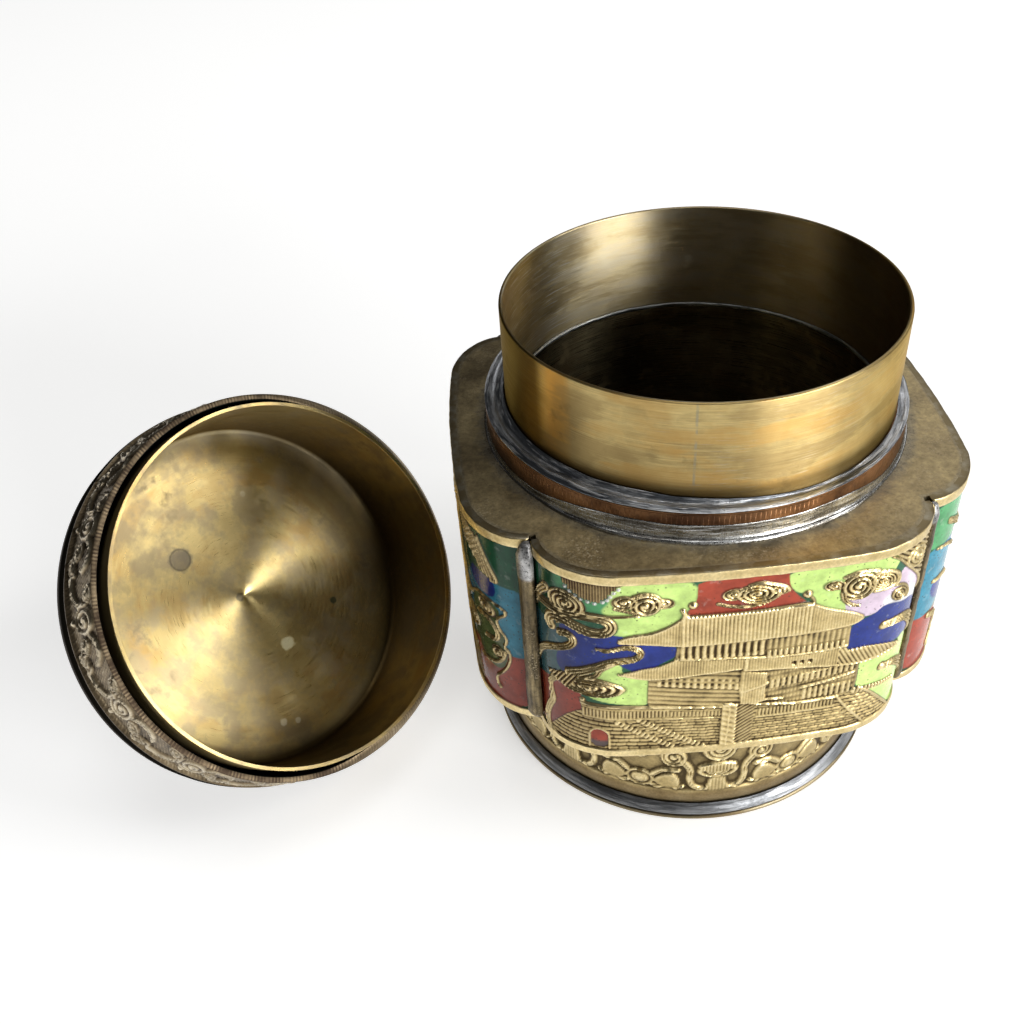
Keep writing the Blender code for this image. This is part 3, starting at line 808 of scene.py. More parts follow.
class Relief:
    """A flat field of cast relief and enamel, in millimetres, from which a piece's face is made."""

    edge: float = 0.36
    edge_width: float = 0.46

    def __init__(self, u: Array, z: Array, ground: Colour, level: float = 0.0) -> None:
        """Start with bare enamel.

        Args:
            u: Places along the face.
            z: Places up the face.
            ground: Colour of the bare ground.
            level: Height that the enamel fills to.
        """
        self.us, self.zs = u, z
        self.u, self.z = np.meshgrid(u, z, indexing="ij")
        self.height = np.full_like(self.u, level)
        self.film = np.zeros_like(self.u)
        self.metal = np.full_like(self.u, -2.0)
        self.tone = np.zeros_like(self.u)
        self.tint = np.zeros((*self.u.shape, 3)) + np.array(ground)

    def window(self, points: Array, margin: float) -> tuple[slice, slice]:
        """Return the part of the field within a margin of some points.

        Args:
            points: The points.
            margin: Width kept round them.

        Returns:
            The part's slices along u and z.
        """
        lo, hi = points.min(0) - margin, points.max(0) + margin
        a, b = np.searchsorted(self.us, [lo[0], hi[0]])
        c, d = np.searchsorted(self.zs, [lo[1], hi[1]])
        return slice(max(a - 1, 0), b + 1), slice(max(c - 1, 0), d + 1)

    def distance(self, points: Array, part: tuple[slice, slice], closed: bool) -> tuple[Array, Array]:
        """Return the distance to a line and the length along it, or the signed distance if closed.

        Args:
            points: The line's points.
            part: The part of the field.
            closed: Whether the line is an outline.

        Returns:
            Distances, above 0 inside an outline, and lengths along the line.
        """
        u, z = self.u[part], self.z[part]
        best = np.full_like(u, 1e9)
        along = np.zeros_like(u)
        inside = np.zeros(u.shape, dtype=bool)
        q = np.concatenate([points, points[:1]]) if closed else points
        run = 0.0
        for a, b in zip(q[:-1], q[1:]):
            d = b - a
            length = math.hypot(*d) + 1e-9
            t = np.clip(((u - a[0]) * d[0] + (z - a[1]) * d[1]) / length**2, 0, 1)
            away = np.hypot(u - a[0] - t * d[0], z - a[1] - t * d[1])
            nearer = away < best
            best = np.where(nearer, away, best)
            along = np.where(nearer, run + t * length, along)
            run += length
            if closed and a[1] != b[1]:
                inside ^= ((a[1] > z) != (b[1] > z)) & (u < d[0] * (z - a[1]) / d[1] + a[0])
        return (np.where(inside, best, -best) if closed else best), along

    def paint(self, enamel: Enamel, outline: Line, blend: float = 0.18, rounds: int = 2) -> None:
        """Fill an outline with an enamel.

        Args:
            enamel: The enamel.
            outline: Its outline.
            blend: Width over which it meets its neighbour.
            rounds: Smoothing of the outline.
        """
        points = chaikin(outline, rounds, True)
        part = self.window(points, 1.0)
        within, _ = self.distance(points, part, True)
        share = smooth_step(0.5 + within / blend)[..., None]
        self.tint[part] = self.tint[part] * (1 - share) + np.array(enamel.value) * share

    def raise_part(
        self, part: tuple[slice, slice], within: Array, height: Array, tone: float = 0.0, over: bool = False,
    ) -> None:
        """Raise metal where within is above 0, with sloping edges.

        Args:
            part: The part of the field.
            within: Distance inside the metal's edge.
            height: Height of its face.
            tone: How brown it is, from 0 to 1.
            over: Whether it cuts away what was there.
        """
        lift = height * smooth_step((within + self.edge) / self.edge_width)
        inside = within > -self.edge
        old = self.height[part]
        new = np.where(within > 0.1, lift, np.maximum(old, lift)) if over else np.maximum(old, lift)
        self.height[part] = np.where(inside, new, old)
        self.metal[part] = np.maximum(self.metal[part], within)
        self.tone[part] = np.where(within > 0, tone, self.tone[part])

    def slab(
        self, outline: Line, height: float, texture: Texture | None = None, tone: float = 0.0, rounds: int = 0,
    ) -> None:
        """Raise a flat area, with a texture of (u, z) from 0 to 1 that cuts into it.

        Args:
            outline: Its outline.
            height: Height of its face.
            texture: Function of u and z that gives the face's share of the height.
            tone: How brown it is.
            rounds: Smoothing of the outline.
        """
        points = chaikin(outline, rounds, True)
        part = self.window(points, 0.6)
        within, _ = self.distance(points, part, True)
        face = np.full_like(within, height)
        if texture is not None:
            face = height * texture(self.u[part], self.z[part])
        self.raise_part(part, within, face, tone, True)

    def stroke(
        self, line: Line, width: float, ridges: int = 1, height: float = 0.85, taper: tuple[float, float] = (1, 1),
        tone: float = 0.0, rounds: int = 2, notch: float = 0.0,
    ) -> None:
        """Raise a ribbon along a line, with ridges side by side, or notched across.

        Args:
            line: The ribbon's middle.
            width: Its full width.
            ridges: Ridges side by side.
            height: Height of the ridges.
            taper: Share of the width at the start and at the end.
            tone: How brown it is.
            rounds: Smoothing of the line.
            notch: Pitch of the notches, or 0.
        """
        points = chaikin(line, rounds)
        part = self.window(points, width)
        away, along = self.distance(points, part, False)
        total = np.hypot(*np.diff(points, axis=0).T).sum()
        half = width / 2 * (taper[0] + (taper[1] - taper[0]) * along / total)
        phase = away * ridges / (2 * half + 1e-6) + (0.0 if ridges % 2 else 0.5)
        face = height * (0.45 + 0.55 * wave(phase) ** 0.7)
        if notch:
            face = height * (0.25 + 0.75 * wave(along / notch) ** 0.6)
        self.raise_part(part, half - away, face, tone)

    def swirl(
        self, centre: tuple[float, float], size: tuple[float, float], rings: float, lean: float = 0.0,
        height: float = 0.9, spin: float = 1.0, tone: float = 0.0, start: float = 0.0,
    ) -> None:
        """Raise a spiral of ridges in an ellipse.

        Args:
            centre: Its eye.
            size: Half width and half height.
            rings: Number of ridges from the eye to the edge.
            lean: Turn of the ellipse in radians.
            height: Height of the ridges.
            spin: 1 or -1 for a spiral, 0 for plain rings.
            tone: How brown it is.
            start: Turn of the spiral's outer end, as a share of a turn.
        """
        a, b = size
        reach = max(a, b)
        points = np.array([[centre[0] - reach, centre[1] - reach], [centre[0] + reach, centre[1] + reach]])
        part = self.window(points, 0.5)
        du, dz = self.u[part] - centre[0], self.z[part] - centre[1]
        x = (du * math.cos(lean) + dz * math.sin(lean)) / a
        y = (-du * math.sin(lean) + dz * math.cos(lean)) / b
        r = np.hypot(x, y)
        turn = np.arctan2(y, x) / (2 * math.pi)
        face = height * (0.35 + 0.65 * wave(r * rings - spin * (turn + start))) * (1.05 - 0.15 * r)
        eye = np.clip(1.0 - (r * rings / 0.62) ** 2, 0, 1)
        face = np.maximum(face, height * 1.15 * np.sqrt(eye))
        self.raise_part(part, (1 - r) * min(a, b), face, tone)

    def ball(self, centre: tuple[float, float], radius: float, height: float) -> None:
        """Raise a round bead.

        Args:
            centre: Its middle.
            radius: Its radius.
            height: Its height.
        """
        points = np.array([[centre[0] - radius, centre[1] - radius], [centre[0] + radius, centre[1] + radius]])
        part = self.window(points, 0.4)
        r = np.hypot(self.u[part] - centre[0], self.z[part] - centre[1])
        face = height * np.sqrt(np.clip(1 - (r / radius) ** 2, 0.05, 1))
        self.raise_part(part, radius - r, face)

    def wear(self, spread: tuple[float, float] = (0.45, 1.3), lift: float = 0.0) -> Array:
        """Return how far each place stands out from those round it, from -1 to 1.

        Args:
            spread: The two distances that are looked over.
            lift: How much plain height counts.

        Returns:
            The wear of each place.
        """
        total = lift * (self.height - 0.72)
        for size, weight in zip(spread, (0.62, 0.38)):
            total += weight * (self.height - self.blur(size)) / (0.16 + 0.10 * size)
        return np.clip(total, -1, 1)

    def blur(self, size: float) -> Array:
        """Return the height averaged over a distance in millimetres.

        Args:
            size: The distance.

        Returns:
            The averaged height.
        """
        field = self.height
        for axis, places in ((0, self.us), (1, self.zs)):
            step = (places[-1] - places[0]) / (len(places) - 1)
            reach = max(1, int(round(2 * size / step)))
            kernel = np.exp(-0.5 * (np.arange(-reach, reach + 1) * step / size) ** 2)
            kernel /= kernel.sum()
            pad = [(reach, reach) if k == axis else (0, 0) for k in (0, 1)]
            padded = np.pad(field, pad, mode="edge")
            field = sum(w * np.take(padded, range(k, k + field.shape[axis]), axis=axis) for k, w in enumerate(kernel))
        return field

    def store(self, piece: Object, lift: float = 0.0) -> None:
        """Write the relief's attributes on a mesh whose first points are the field's.

        Args:
            piece: The mesh.
            lift: How much plain height counts as wear.
        """
        count = len(piece.data.vertices)
        past = {"metal": 2.0, "film": 1.0}
        layers = {"metal": self.metal, "wear": self.wear(lift=lift), "tone": self.tone, "film": self.film}
        for name, values in layers.items():
            data = np.full(count, past.get(name, 0.0), np.float32)
            data[: values.size] = values.ravel()
            write(piece, name, data)
        colours = np.ones((count, 4), np.float32)
        colours[: self.metal.size, :3] = self.tint.reshape(-1, 3)
        piece.data.attributes.new("tint", "FLOAT_COLOR", "POINT").data.foreach_set("color", colours.ravel())


# ---------------------------------------------------------------- the panels' scenes


def ribs(pitch: float, lean: float = 0.0, deep: float = 0.55, start: float = 0.0) -> Texture:
    """Return a texture of upright ribs, leaning by lean millimetres for each one of height."""
    return lambda u, z: 1 - 0.62 * deep * (1 - wave((u - start + lean * z) / pitch) ** 0.8)


def courses(pitch: float, brick: float, slope: float = 0.0, deep: float = 0.6, start: float = 0.0) -> Texture:
    """Return a texture of brick courses.

    Args:
        pitch: Height of a course.
        brick: Length of a brick.
        slope: Rise of the courses along u.
        deep: Depth of the joints.
        start: Height of the first joint.

    Returns:
        The texture as a function of u and z.
    """

    def value(u: Array, z: Array) -> Array:
        """Return the face at these places.

        Args:
            u: Places along the face.
            z: Places up the face.

        Returns:
            The face's share of its height.
        """
        row = (z - slope * u - start) / pitch
        course = np.floor(row)
        offset = 0.5 * (course % 2) + 0.17 * np.sin(course * 2.3)
        joint = np.abs(((u / brick + offset) % 1.0) - 0.5) * 2
        upright = smooth_step((joint - 0.80) / 0.2)
        bed = smooth_step((0.5 - np.abs(row - course - 0.5)) / 0.22)
        return 1 - deep * (1 - bed) - 0.5 * deep * upright

    return value


class Scenery(Relief):
    """The relief of a panel, with its two scenes, in millimetres."""

    pitch: float = 0.778
    fine: float = 0.583
    panel_height: float = 53.0

    def rim(self, half: float, top: float) -> None:
        """Draw the frame round the panel, with soft inner edges.

        Args:
            half: Half the panel's length.
            top: Height of the frame's upper edge.
        """
        height = self.panel_height
        inner = np.minimum(np.minimum(self.z - 2.1, top - self.z), half - 0.75 - np.abs(self.u))
        within = -inner
        part = (slice(None), slice(None))
        roll = np.minimum(height - self.z, np.minimum(self.z, half - np.abs(self.u)))
        face = 0.80 + 0.05 * np.sin(np.clip(self.z / 2.1, 0, 1) * math.pi)
        face = face - 0.35 * (1 - np.sqrt(np.clip(1 - (1 - np.clip(roll / 0.4, 0, 1)) ** 2, 0, 1)))
        self.raise_part(part, within, face, 0.0, True)

    def pagoda(self) -> None:
        """Draw the two-roofed hall over its terrace, with clouds round it."""
        e = Enamel
        self.paint(e.GREEN, [(-47, 35), (-47, 51.5), (-23, 51.5), (-26, 47), (-26.5, 44), (-28, 42), (-25, 40),
            (-26, 37), (-32, 36)])
        self.paint(e.JADE, [(-33, 46.5), (-27, 47), (-25, 45), (-27, 42.6), (-32, 42.6)], 2.5)
        self.paint(e.JADE, [(-38, 51), (-35, 51), (-35, 48), (-38, 47)], 2)
        self.paint(e.LIME, [(-28.5, 51.5), (-9.3, 51.5), (-9.3, 44.3), (-11.2, 43.2), (-11.6, 41), (-14, 39.2),
            (-18, 37.2), (-22, 36.8), (-25.6, 36.9), (-24.4, 38), (-24.4, 40), (-26.6, 42.3), (-28, 43.6),
            (-25.5, 46.5)], 0.9)
        self.paint(e.RED, [(-9.3, 51.5), (8, 51.5), (8.4, 47), (10, 44.6), (11.3, 43.2), (12.5, 42), (-10.8, 41.5),
            (-11, 43), (-9.3, 44.2)], rounds=1)
        self.paint(e.LIME, [(8, 51.5), (32, 51.5), (30, 46), (27, 42), (22, 41), (22, 37.3), (18, 38.8), (15, 40.3),
            (13.4, 42), (12, 44.5), (10, 45), (8.4, 47)], 0.3)
        self.paint(e.LILAC, [(20, 41.5), (20.5, 37.5), (24, 35.6), (27, 35.6), (29, 37.3), (31.2, 37), (34.5, 35.5),
            (38.5, 34.8), (42, 31), (47, 25), (47, 32), (42, 38), (38, 42), (35, 44.5), (32.5, 46), (31.5, 43.5),
            (30.4, 41.8), (26, 41.9), (22, 41.7)])
        self.paint(e.WHITE, [(29, 37.3), (31.2, 37), (34.5, 35.5), (38.5, 34.8), (42, 31), (42, 35), (36, 38.5),
            (31, 40), (28.5, 39)], 1.6)
        self.paint(e.COBALT, [(22.2, 33.4), (24.3, 34.8), (27, 35.6), (28.8, 37.1), (31.2, 36.9), (34.5, 35.4),
            (38.5, 34.7), (42, 31), (47, 25), (47, 18), (44, 22), (38, 24), (35, 24), (32.4, 24.8), (29, 26),
            (26, 26.8), (22.4, 26.4), (22, 29)])
        self.paint(e.LIME, [(24.8, 22.8), (36, 23.2), (38.5, 24), (41, 21.5), (47, 13), (47, 1.5), (38, 1.5),
            (33.5, 7.5), (29.6, 12), (26.8, 14), (25.4, 16)])
        self.paint(e.LIME, [(-31.6, 18.6), (-29, 17.4), (-24, 16.7), (-19.6, 16), (-18, 16.6), (-17.6, 19.4),
            (-17.4, 24.4), (-21, 25.6), (-23.8, 26.2), (-23.4, 28.4), (-26, 29.2), (-29.2, 27), (-30, 24.4), (-24, 23),
            (-23, 21), (-26, 19.8)])
        self.paint(e.SLATE, [(-47, 36.5), (-40.6, 36.6), (-36.6, 35.6), (-35, 33), (-36, 31), (-38, 29.4), (-38, 25),
            (-37, 23.4), (-39.6, 21.6), (-41, 19.6), (-47, 16.5)])
        self.paint(e.COBALT, [(-34.4, 36.4), (-31, 36.8), (-24.6, 37.2), (-22, 35.9), (-18, 35), (-13, 33.9),
            (-12.5, 30.6), (-15, 29), (-18, 27), (-21.4, 26.6), (-23.6, 28), (-25, 29.6), (-27, 28.8), (-31, 26),
            (-34, 24.2), (-36.6, 23), (-38.3, 25), (-38.1, 28.6), (-35.5, 31.5), (-33.6, 33.5)])
        self.paint(e.COBALT, [(-37.4, 36.6), (-35.8, 37.8), (-33.4, 37.6), (-32.6, 36.3), (-34.3, 35.4), (-36.4, 35.2)])
        self.paint(e.RED, [(-47, 17), (-41, 19.2), (-39.6, 19.8), (-36, 20.1), (-32.2, 18.6), (-32.6, 16), (-32, 13.4),
            (-33.6, 12.7), (-36, 10.4), (-38, 7.8), (-40, 4.4), (-41.5, 3), (-47, 2)])
        self.terrace()
        self.lower_hall()
        self.upper_hall()
        self.stairs()
        self.height = self.blur(0.13)
        self.pagoda_clouds()

    def terrace(self) -> None:
        """Draw the walled terrace with its teeth, ledges, courses and door."""
        p = self.pitch
        ground = [(-32.6, 16.5), (-18, 16.0), (-3, 14.6), (4.4, 14.8), (14, 13.1), (22, 13.8), (26.8, 14.4), (29.6, 12),
            (33.6, 7.4), (38.2, 1.5), (-43, 1.5), (-40.4, 4.4), (-38, 7.8), (-36, 10.4), (-33.6, 12.7), (-32.2, 13.6)]
        self.slab(ground, 0.52, courses(1.25, 2.3, -0.03))
        self.slab([(4, 10), (21.9, 10), (25, 6.4), (29.6, 1.6), (4, 1.6)], 0.56, courses(0.84, 2.1))
        self.slab([(-19.5, 11.4), (-3, 10.8), (-2.4, 1.6), (-6, 1.6)], 0.52, courses(0.95, 1.7, -0.05))
        self.slab([(21.8, 13.6), (29.4, 12.4), (33.4, 7.4), (38.1, 1.6), (29.6, 1.6), (25, 6.4)], 0.58,
            courses(1.1, 3.4, -0.12))
        self.slab([(-32.4, 14.7), (-14, 14.4), (-14, 12.3), (-32.2, 12.4)], 0.74, ribs(p, 0, 0.85), 0.15)
        self.slab([(-14, 13.9), (-3, 13), (-3, 11.4), (-14, 12.4)], 0.72, ribs(p, 0, 0.7))
        self.slab([(4.8, 12.3), (21.6, 12.2), (21.6, 10.2), (4.8, 10.1)], 0.72, ribs(p, 0, 0.8))
        self.stroke([(-32.3, 16.2), (-18, 15.7), (-3, 14.3)], 0.9, 1, 0.92)
        self.stroke([(-32.2, 15.1), (-18, 14.8), (-3, 13.3)], 0.5, 1, 0.72)
        self.stroke([(-32, 12.2), (-18, 12), (-3, 10.9)], 0.6, 1, 0.76)
        self.stroke([(4.2, 14.2), (9, 13.4), (14, 12.7), (22, 13)], 0.85, 1, 1)
        self.stroke([(4.8, 9.9), (21.6, 9.9)], 0.55, 1, 0.85)
        self.stroke([(21.6, 13.4), (23.6, 10), (27, 5.5), (29.8, 1.8)], 0.7, 1, 0.9, rounds=1)
        self.stroke([(26.6, 14.4), (29.6, 11.8), (33.6, 7.2), (38.2, 1.6)], 0.7, 1, 0.92, rounds=1)
        self.stroke([(25.6, 13.9), (31, 13), (36.8, 11.6)], 1.5, 1, 0.9, (1, 0.6), notch=0.95)
        door = [(-30.7, 2.5), (-30.7, 6.6), (-30.1, 8.0), (-28.5, 8.9), (-26.9, 8.0), (-26.3, 6.6), (-26.3, 2.5)]
        self.stroke(door, 0.55, 1, 0.82, rounds=1)
        part = self.window(np.array(door), 0.5)
        within, _ = self.distance(chaikin(door, 1, True), part, True)
        self.metal[part] = np.where(within > 0.18, -within, self.metal[part])
        self.height[part] = np.where(within > 0.18, 0.25, self.height[part])
        self.paint(Enamel.RED, door, rounds=1)
        self.paint(Enamel.SMOKE, [(-31, 2), (-31, 4.8), (-28.5, 4.4), (-26, 4.8), (-26, 2)], 1, 0)

    def lower_hall(self) -> None:
        """Draw the lower storey, its bay and the roof over it."""
        p = self.pitch
        self.slab([(-18.2, 24.6), (-18.3, 17), (-18, 15.9), (-3, 14.4), (1.2, 14.6), (1.2, 25), (-6, 25.2)], 0.62,
            lambda u, z: 0.72 + 0.28 * wave((z + 0.155 * u - 17.2) / 1.35))
        self.slab([(1, 14.6), (14, 12.9), (22, 13.4), (25.6, 15), (25.4, 22.4), (20, 24), (12, 25), (1, 25.2)], 0.62,
            lambda u, z: 0.72 + 0.28 * wave((z - 0.12 * u - 14.1) / 1.6) * wave(u / p) ** 0.4)
        for k in range(12):
            u = -16.4 + 1.45 * k
            self.slab([(u, 19.4 - 0.16 * u), (u + 0.75, 19.3 - 0.16 * u), (u + 0.65, 20.8 - 0.16 * u),
                (u + 0.1, 20.9 - 0.16 * u)], 0.86)
            self.slab([(u + 0.1, 21.6 - 0.13 * u), (u + 0.7, 21.5 - 0.13 * u), (u + 0.7, 22.3 - 0.13 * u),
                (u + 0.1, 22.4 - 0.13 * u)], 0.72)
        for k in range(15):
            u = 7.0 + 1.2 * k
            low = 18.6 + 0.12 * (u - 7)
            self.slab([(u, low), (u + 0.6, low), (u + 0.6, low + 2.4), (u, low + 2.4)], 0.82)
            if u > 13:
                self.slab([(u, 13.9), (u + 0.55, 13.9), (u + 0.55, 17), (u, 17)], 0.80)
        self.stroke([(13.6, 17.5), (18, 18.2), (24.8, 19.9)], 0.8, 1, 0.98)
        self.stroke([(13.6, 21.6), (19, 22.2), (25, 22.9)], 0.5, 1, 0.8)
        self.stroke([(25.2, 14.6), (25.5, 18), (25.2, 22.2)], 0.7, 1, 0.74, tone=0.7)
        bay = [(0.7, 24.8), (5.9, 23.4), (6.3, 20.6), (5.8, 19.8), (6.2, 15.5), (4.2, 14.2), (1.2, 14.4), (0.6, 19)]
        self.slab(bay, 0.98, ribs(self.fine, 0, 0.5))
        self.stroke([(1, 18.6), (3.2, 19.3), (6.4, 20.4)], 0.8, 1, 1.1)
        self.stroke([(3.8, 14.5), (6.2, 15.4), (10, 15)], 0.6, 1, 1.02)
        left = [(-24.3, 26), (-20, 27.2), (-16, 28), (-13, 29.5), (0.6, 28.5), (1.4, 25.6), (-6, 25), (-12, 24.4),
            (-18, 24.1), (-22, 25)]
        self.slab(left, 0.92, ribs(self.fine, 0, 0.62))
        right = [(1.0, 28.9), (1.4, 25), (6, 24.4), (12.6, 24.0), (22, 22.4), (34, 22.2), (36.5, 23), (32.4, 25),
            (29, 26.3), (26, 27), (22.5, 26.8), (21.6, 28.2), (12, 27.4), (4, 28.2)]
        coarse, fine = ribs(0.972, 0.55, 0.7), ribs(self.fine, 0, 0.5)
        self.slab(right, 0.92, lambda u, z: np.where(u > 20.5, coarse(u, z), fine(u, z)))
        self.stroke([(-24.2, 25.9), (-21, 24.9), (-18, 24.2), (-10, 24.7), (0.6, 25.6)], 0.6, 1, 1)
        self.stroke([(1.4, 25), (6, 24.6), (12, 24.1), (22, 22.6), (33, 22.5), (36, 23)], 0.7, 1, 1)
        self.stroke([(1.3, 25.2), (1.5, 27), (1.2, 28.6)], 1.2, 1, 1.08, rounds=1)
        for u in (10.9, 12.6, 14.2):
            self.slab([(u, 25), (u + 0.9, 24.9), (u + 0.9, 25.9), (u, 26)], 0.12, tone=0.5)

    def upper_hall(self) -> None:
        """Draw the upper storey with its posts and the big ribbed roof."""
        p = self.pitch
        self.slab([(-13, 29.4), (-12.6, 33.8), (22.2, 34.2), (22.4, 27.9), (12, 27.2), (0.6, 28.3)], 0.55)
        for k in range(12):
            u = -11.9 + 1.45 * k
            low = 29.9 - 0.045 * (u + 12)
            self.slab([(u, low), (u + 0.62, low), (u + 0.62, 33.4), (u, 33.4)], 0.84)
            self.slab([(u + 0.75, low + 0.9), (u + 1.3, low + 0.9), (u + 1.3, 32.7), (u + 0.75, 32.7)], 0.36, tone=0.2)
            self.slab([(u - 0.1, low), (u + 0.75, low), (u + 0.6, low + 0.8), (u + 0.05, low + 0.8)], 1)
        for k in range(14):
            u = 5.6 + 1.167 * k
            self.slab([(u, 28.4), (u + 0.62, 28.4), (u + 0.5, 30), (u + 0.1, 30)], 0.95)
            self.slab([(u + 0.05, 30.4), (u + 0.6, 30.4), (u + 0.6, 33.4), (u + 0.05, 33.4)], 0.74)
        self.stroke([(-12.8, 29.7), (0, 28.9), (4, 28.3), (12, 27.7), (22, 28.3)], 0.75, 1, 1)
        self.stroke([(-12.8, 33.5), (0, 33.3), (22, 33.7)], 0.45, 1, 0.8)
        wing_left = [(-24.3, 35.2), (-22, 36.9), (-18, 37.2), (-14, 39.1), (-11.8, 41), (-11.8, 33.6), (-18, 34.4)]
        wing_right = [(13.2, 41.9), (13.6, 41.6), (15, 40.3), (18, 38.8), (22, 37.5), (24.4, 35.8), (22.6, 34.1),
            (13.2, 33.8)]
        self.slab(wing_left, 0.94, ribs(self.fine, 0, 0.56))
        self.slab(wing_right, 0.94, ribs(self.fine, 0, 0.5))
        self.slab([(-12, 41.8), (13.4, 41.8), (13.8, 33.8), (0, 33.6), (-12, 33.5)], 1.14, ribs(p, 0.02, 0.5))
        self.stroke([(-24.2, 35.1), (-18, 34.5), (-12, 33.5), (0, 33.7), (12, 33.8), (22.6, 34.2), (24.4, 35.6)], 0.65,
            1, 1)
        self.stroke([(-24.2, 35.6), (-22, 36.9), (-18, 37.2), (-14, 39.1), (-11.9, 41)], 0.5, 1, 0.95)
        self.stroke([(13.4, 41.6), (15, 40.4), (18, 38.9), (22, 37.5), (24.3, 36)], 0.6, 1, 0.9, tone=0.5)
        self.stroke([(-11.9, 43.2), (-11.3, 41.7), (-10.6, 41.2), (-5, 41.3), (5, 41.4), (10, 41.8), (13.4, 41.6)],
            0.95, 1, 1.2)
        self.ball((-10, 44.3), 0.95, 1.15)
        self.ball((12.2, 44.3), 0.95, 1.1)
        self.stroke([(12.8, 43.6), (13.6, 42.6), (13.8, 41.4)], 0.6, 1, 0.8, tone=0.5)

    def stairs(self) -> None:
        """Draw the diagonal stair rails and the stepped pier in the middle."""
        for a, b in (((-24.4, 10.9), (-12.2, 2.2)), ((-19.9, 11.6), (-6.4, 2.1))):
            self.stroke([a, ((a[0] + b[0]) / 2, (a[1] + b[1]) / 2 - 0.3), b], 1.25, 2, 0.84, rounds=1, notch=1.1)
        steps = 13
        for k in range(steps):
            t = (k + 0.5) / steps
            u, z = -22.6 + 12.0 * t, 11.0 - 8.6 * t
            self.stroke([(u, z), (u + 1.8, z + 0.5), (u + 3.2, z + 0.3)], 0.36, 1, 0.74, rounds=0)
        self.slab([(-2.6, 15.2), (-0.9, 15.2), (0.3, 14.4), (0.3, 1.8), (-2.6, 1.8)], 0.95,
            lambda u, z: 0.8 + 0.2 * wave(z / 1.6 + u * 0.3))
        self.slab([(0.3, 14.6), (2.5, 14.7), (4.1, 14), (4.1, 1.8), (0.3, 1.8)], 0.66,
            lambda u, z: 0.5 + 0.5 * wave((z - 0.75 * u) / 1.07) ** 0.7, 0.3)
        self.stroke([(0.2, 14.4), (0.3, 8), (0.3, 1.9)], 0.45, 1, 1.1, notch=1.07, rounds=0)
        self.stroke([(-2.3, 14.8), (-1, 14.5), (-1.2, 8), (-1.4, 2)], 0.5, 1, 1.1, rounds=1)

    def pagoda_clouds(self) -> None:
        """Draw the clouds, the hanging ribbed patch and its pearls."""
        patch = [(-36.2, 51), (-35.6, 48.6), (-34, 47), (-31.6, 45.9), (-29, 45.5), (-27, 46.2), (-26, 47.6),
            (-24.6, 49.2), (-23.2, 51)]
        self.slab(patch, 0.55, ribs(self.fine, 0, 0.6), 0.75, 1)
        for u, z in ((-35.2, 48.2), (-34.2, 47.3), (-33.0, 46.5), (-31.9, 45.9), (-30.4, 45.6), (-29.0, 45.4),
            (-27.4, 46.0), (-26.5, 46.6), (-25.9, 47.5), (-25.2, 48.5), (-24.3, 49.4)):
            self.ball((u, z), 0.36, 0.8)
            part = self.window(np.array([[u, z]]), 0.4)
            self.metal[part] = np.minimum(self.metal[part], -0.3)
            self.paint(Enamel.WHITE, [(u - 0.4, z - 0.4), (u + 0.4, z - 0.4), (u + 0.4, z + 0.4), (u - 0.4, z + 0.4)],
                0.3, 1)
        # upper left: the big eye, the hook under it and the curled ribbon
        self.swirl((-35.2, 43.7), (4.3, 3.3), 3.6, -0.12, 0.85, tone=0.35)
        self.stroke([(-40.5, 45.2), (-42.2, 43.5), (-43.4, 41.6), (-44.6, 38)], 2.4, 3, 0.8, (1, 0.5), 0.45)
        self.stroke([(-31.6, 43.6), (-31.7, 42.3), (-28, 42.3), (-22, 42.2), (-19.2, 42.6)], 0.85, 2, 0.82, (1, 0.7),
            0.25)
        self.stroke([(-42.5, 40.9), (-37, 41), (-32, 41.6), (-28, 41.6), (-26, 40.6), (-25.6, 38.8), (-27, 37.5),
            (-30, 37.3), (-33.5, 38.4), (-36, 39.2), (-39, 38.6), (-40, 36.8), (-39.2, 35.6)], 2.9, 3, 0.86, (0.8, 0.9),
            0.3)
        self.stroke([(-37.6, 37.2), (-36, 38.3), (-33.6, 37.9), (-32.3, 36.6)], 0.5, 1, 0.75)
        self.stroke([(-36.8, 34.9), (-35.2, 35.4), (-33.8, 34.6), (-33.8, 33), (-35.4, 31.4), (-38, 29.9), (-41, 28.2),
            (-43.6, 25.6), (-45.5, 21)], 2.7, 3, 0.86, (0.7, 0.6), 0.15)
        # cloud on the lime
        self.swirl((-19, 44.9), (3, 2.8), 2.6, 0.2, 0.95, start=0.25)
        self.swirl((-23.2, 46), (2.5, 1.7), 2.2, 0, 0.85, -1, tone=0.2)
        self.swirl((-15.8, 45.3), (2.2, 1.3), 1.8, -0.1, 0.85, tone=0.2)
        self.stroke([(-25, 44.4), (-22, 43.4), (-19.6, 42.6), (-17.6, 43.2)], 0.8, 2, 0.8, tone=0.25)
        self.stroke([(-21.5, 47.4), (-19.5, 48.2), (-17.2, 47.4), (-16.2, 46.2)], 0.9, 2, 0.86)
        # cloud on the red
        self.swirl((2.2, 46), (4.2, 2.4), 3.4, -0.08, 0.95, start=0.5)
        self.swirl((-2.2, 46.4), (2.3, 1.5), 2, 0.1, 0.85, 0)
        self.swirl((6.2, 46.4), (2.3, 1.2), 1.8, -0.15, 0.85, 0)
        self.stroke([(0.6, 48.3), (2.8, 49), (5.2, 48.1), (7.8, 47.2), (8.4, 46)], 0.75, 1, 0.95)
        self.stroke([(-5.2, 44.2), (-2.4, 43.1), (1, 42.8), (4.2, 43.4), (6.4, 45)], 0.75, 2, 0.8, tone=0.3)
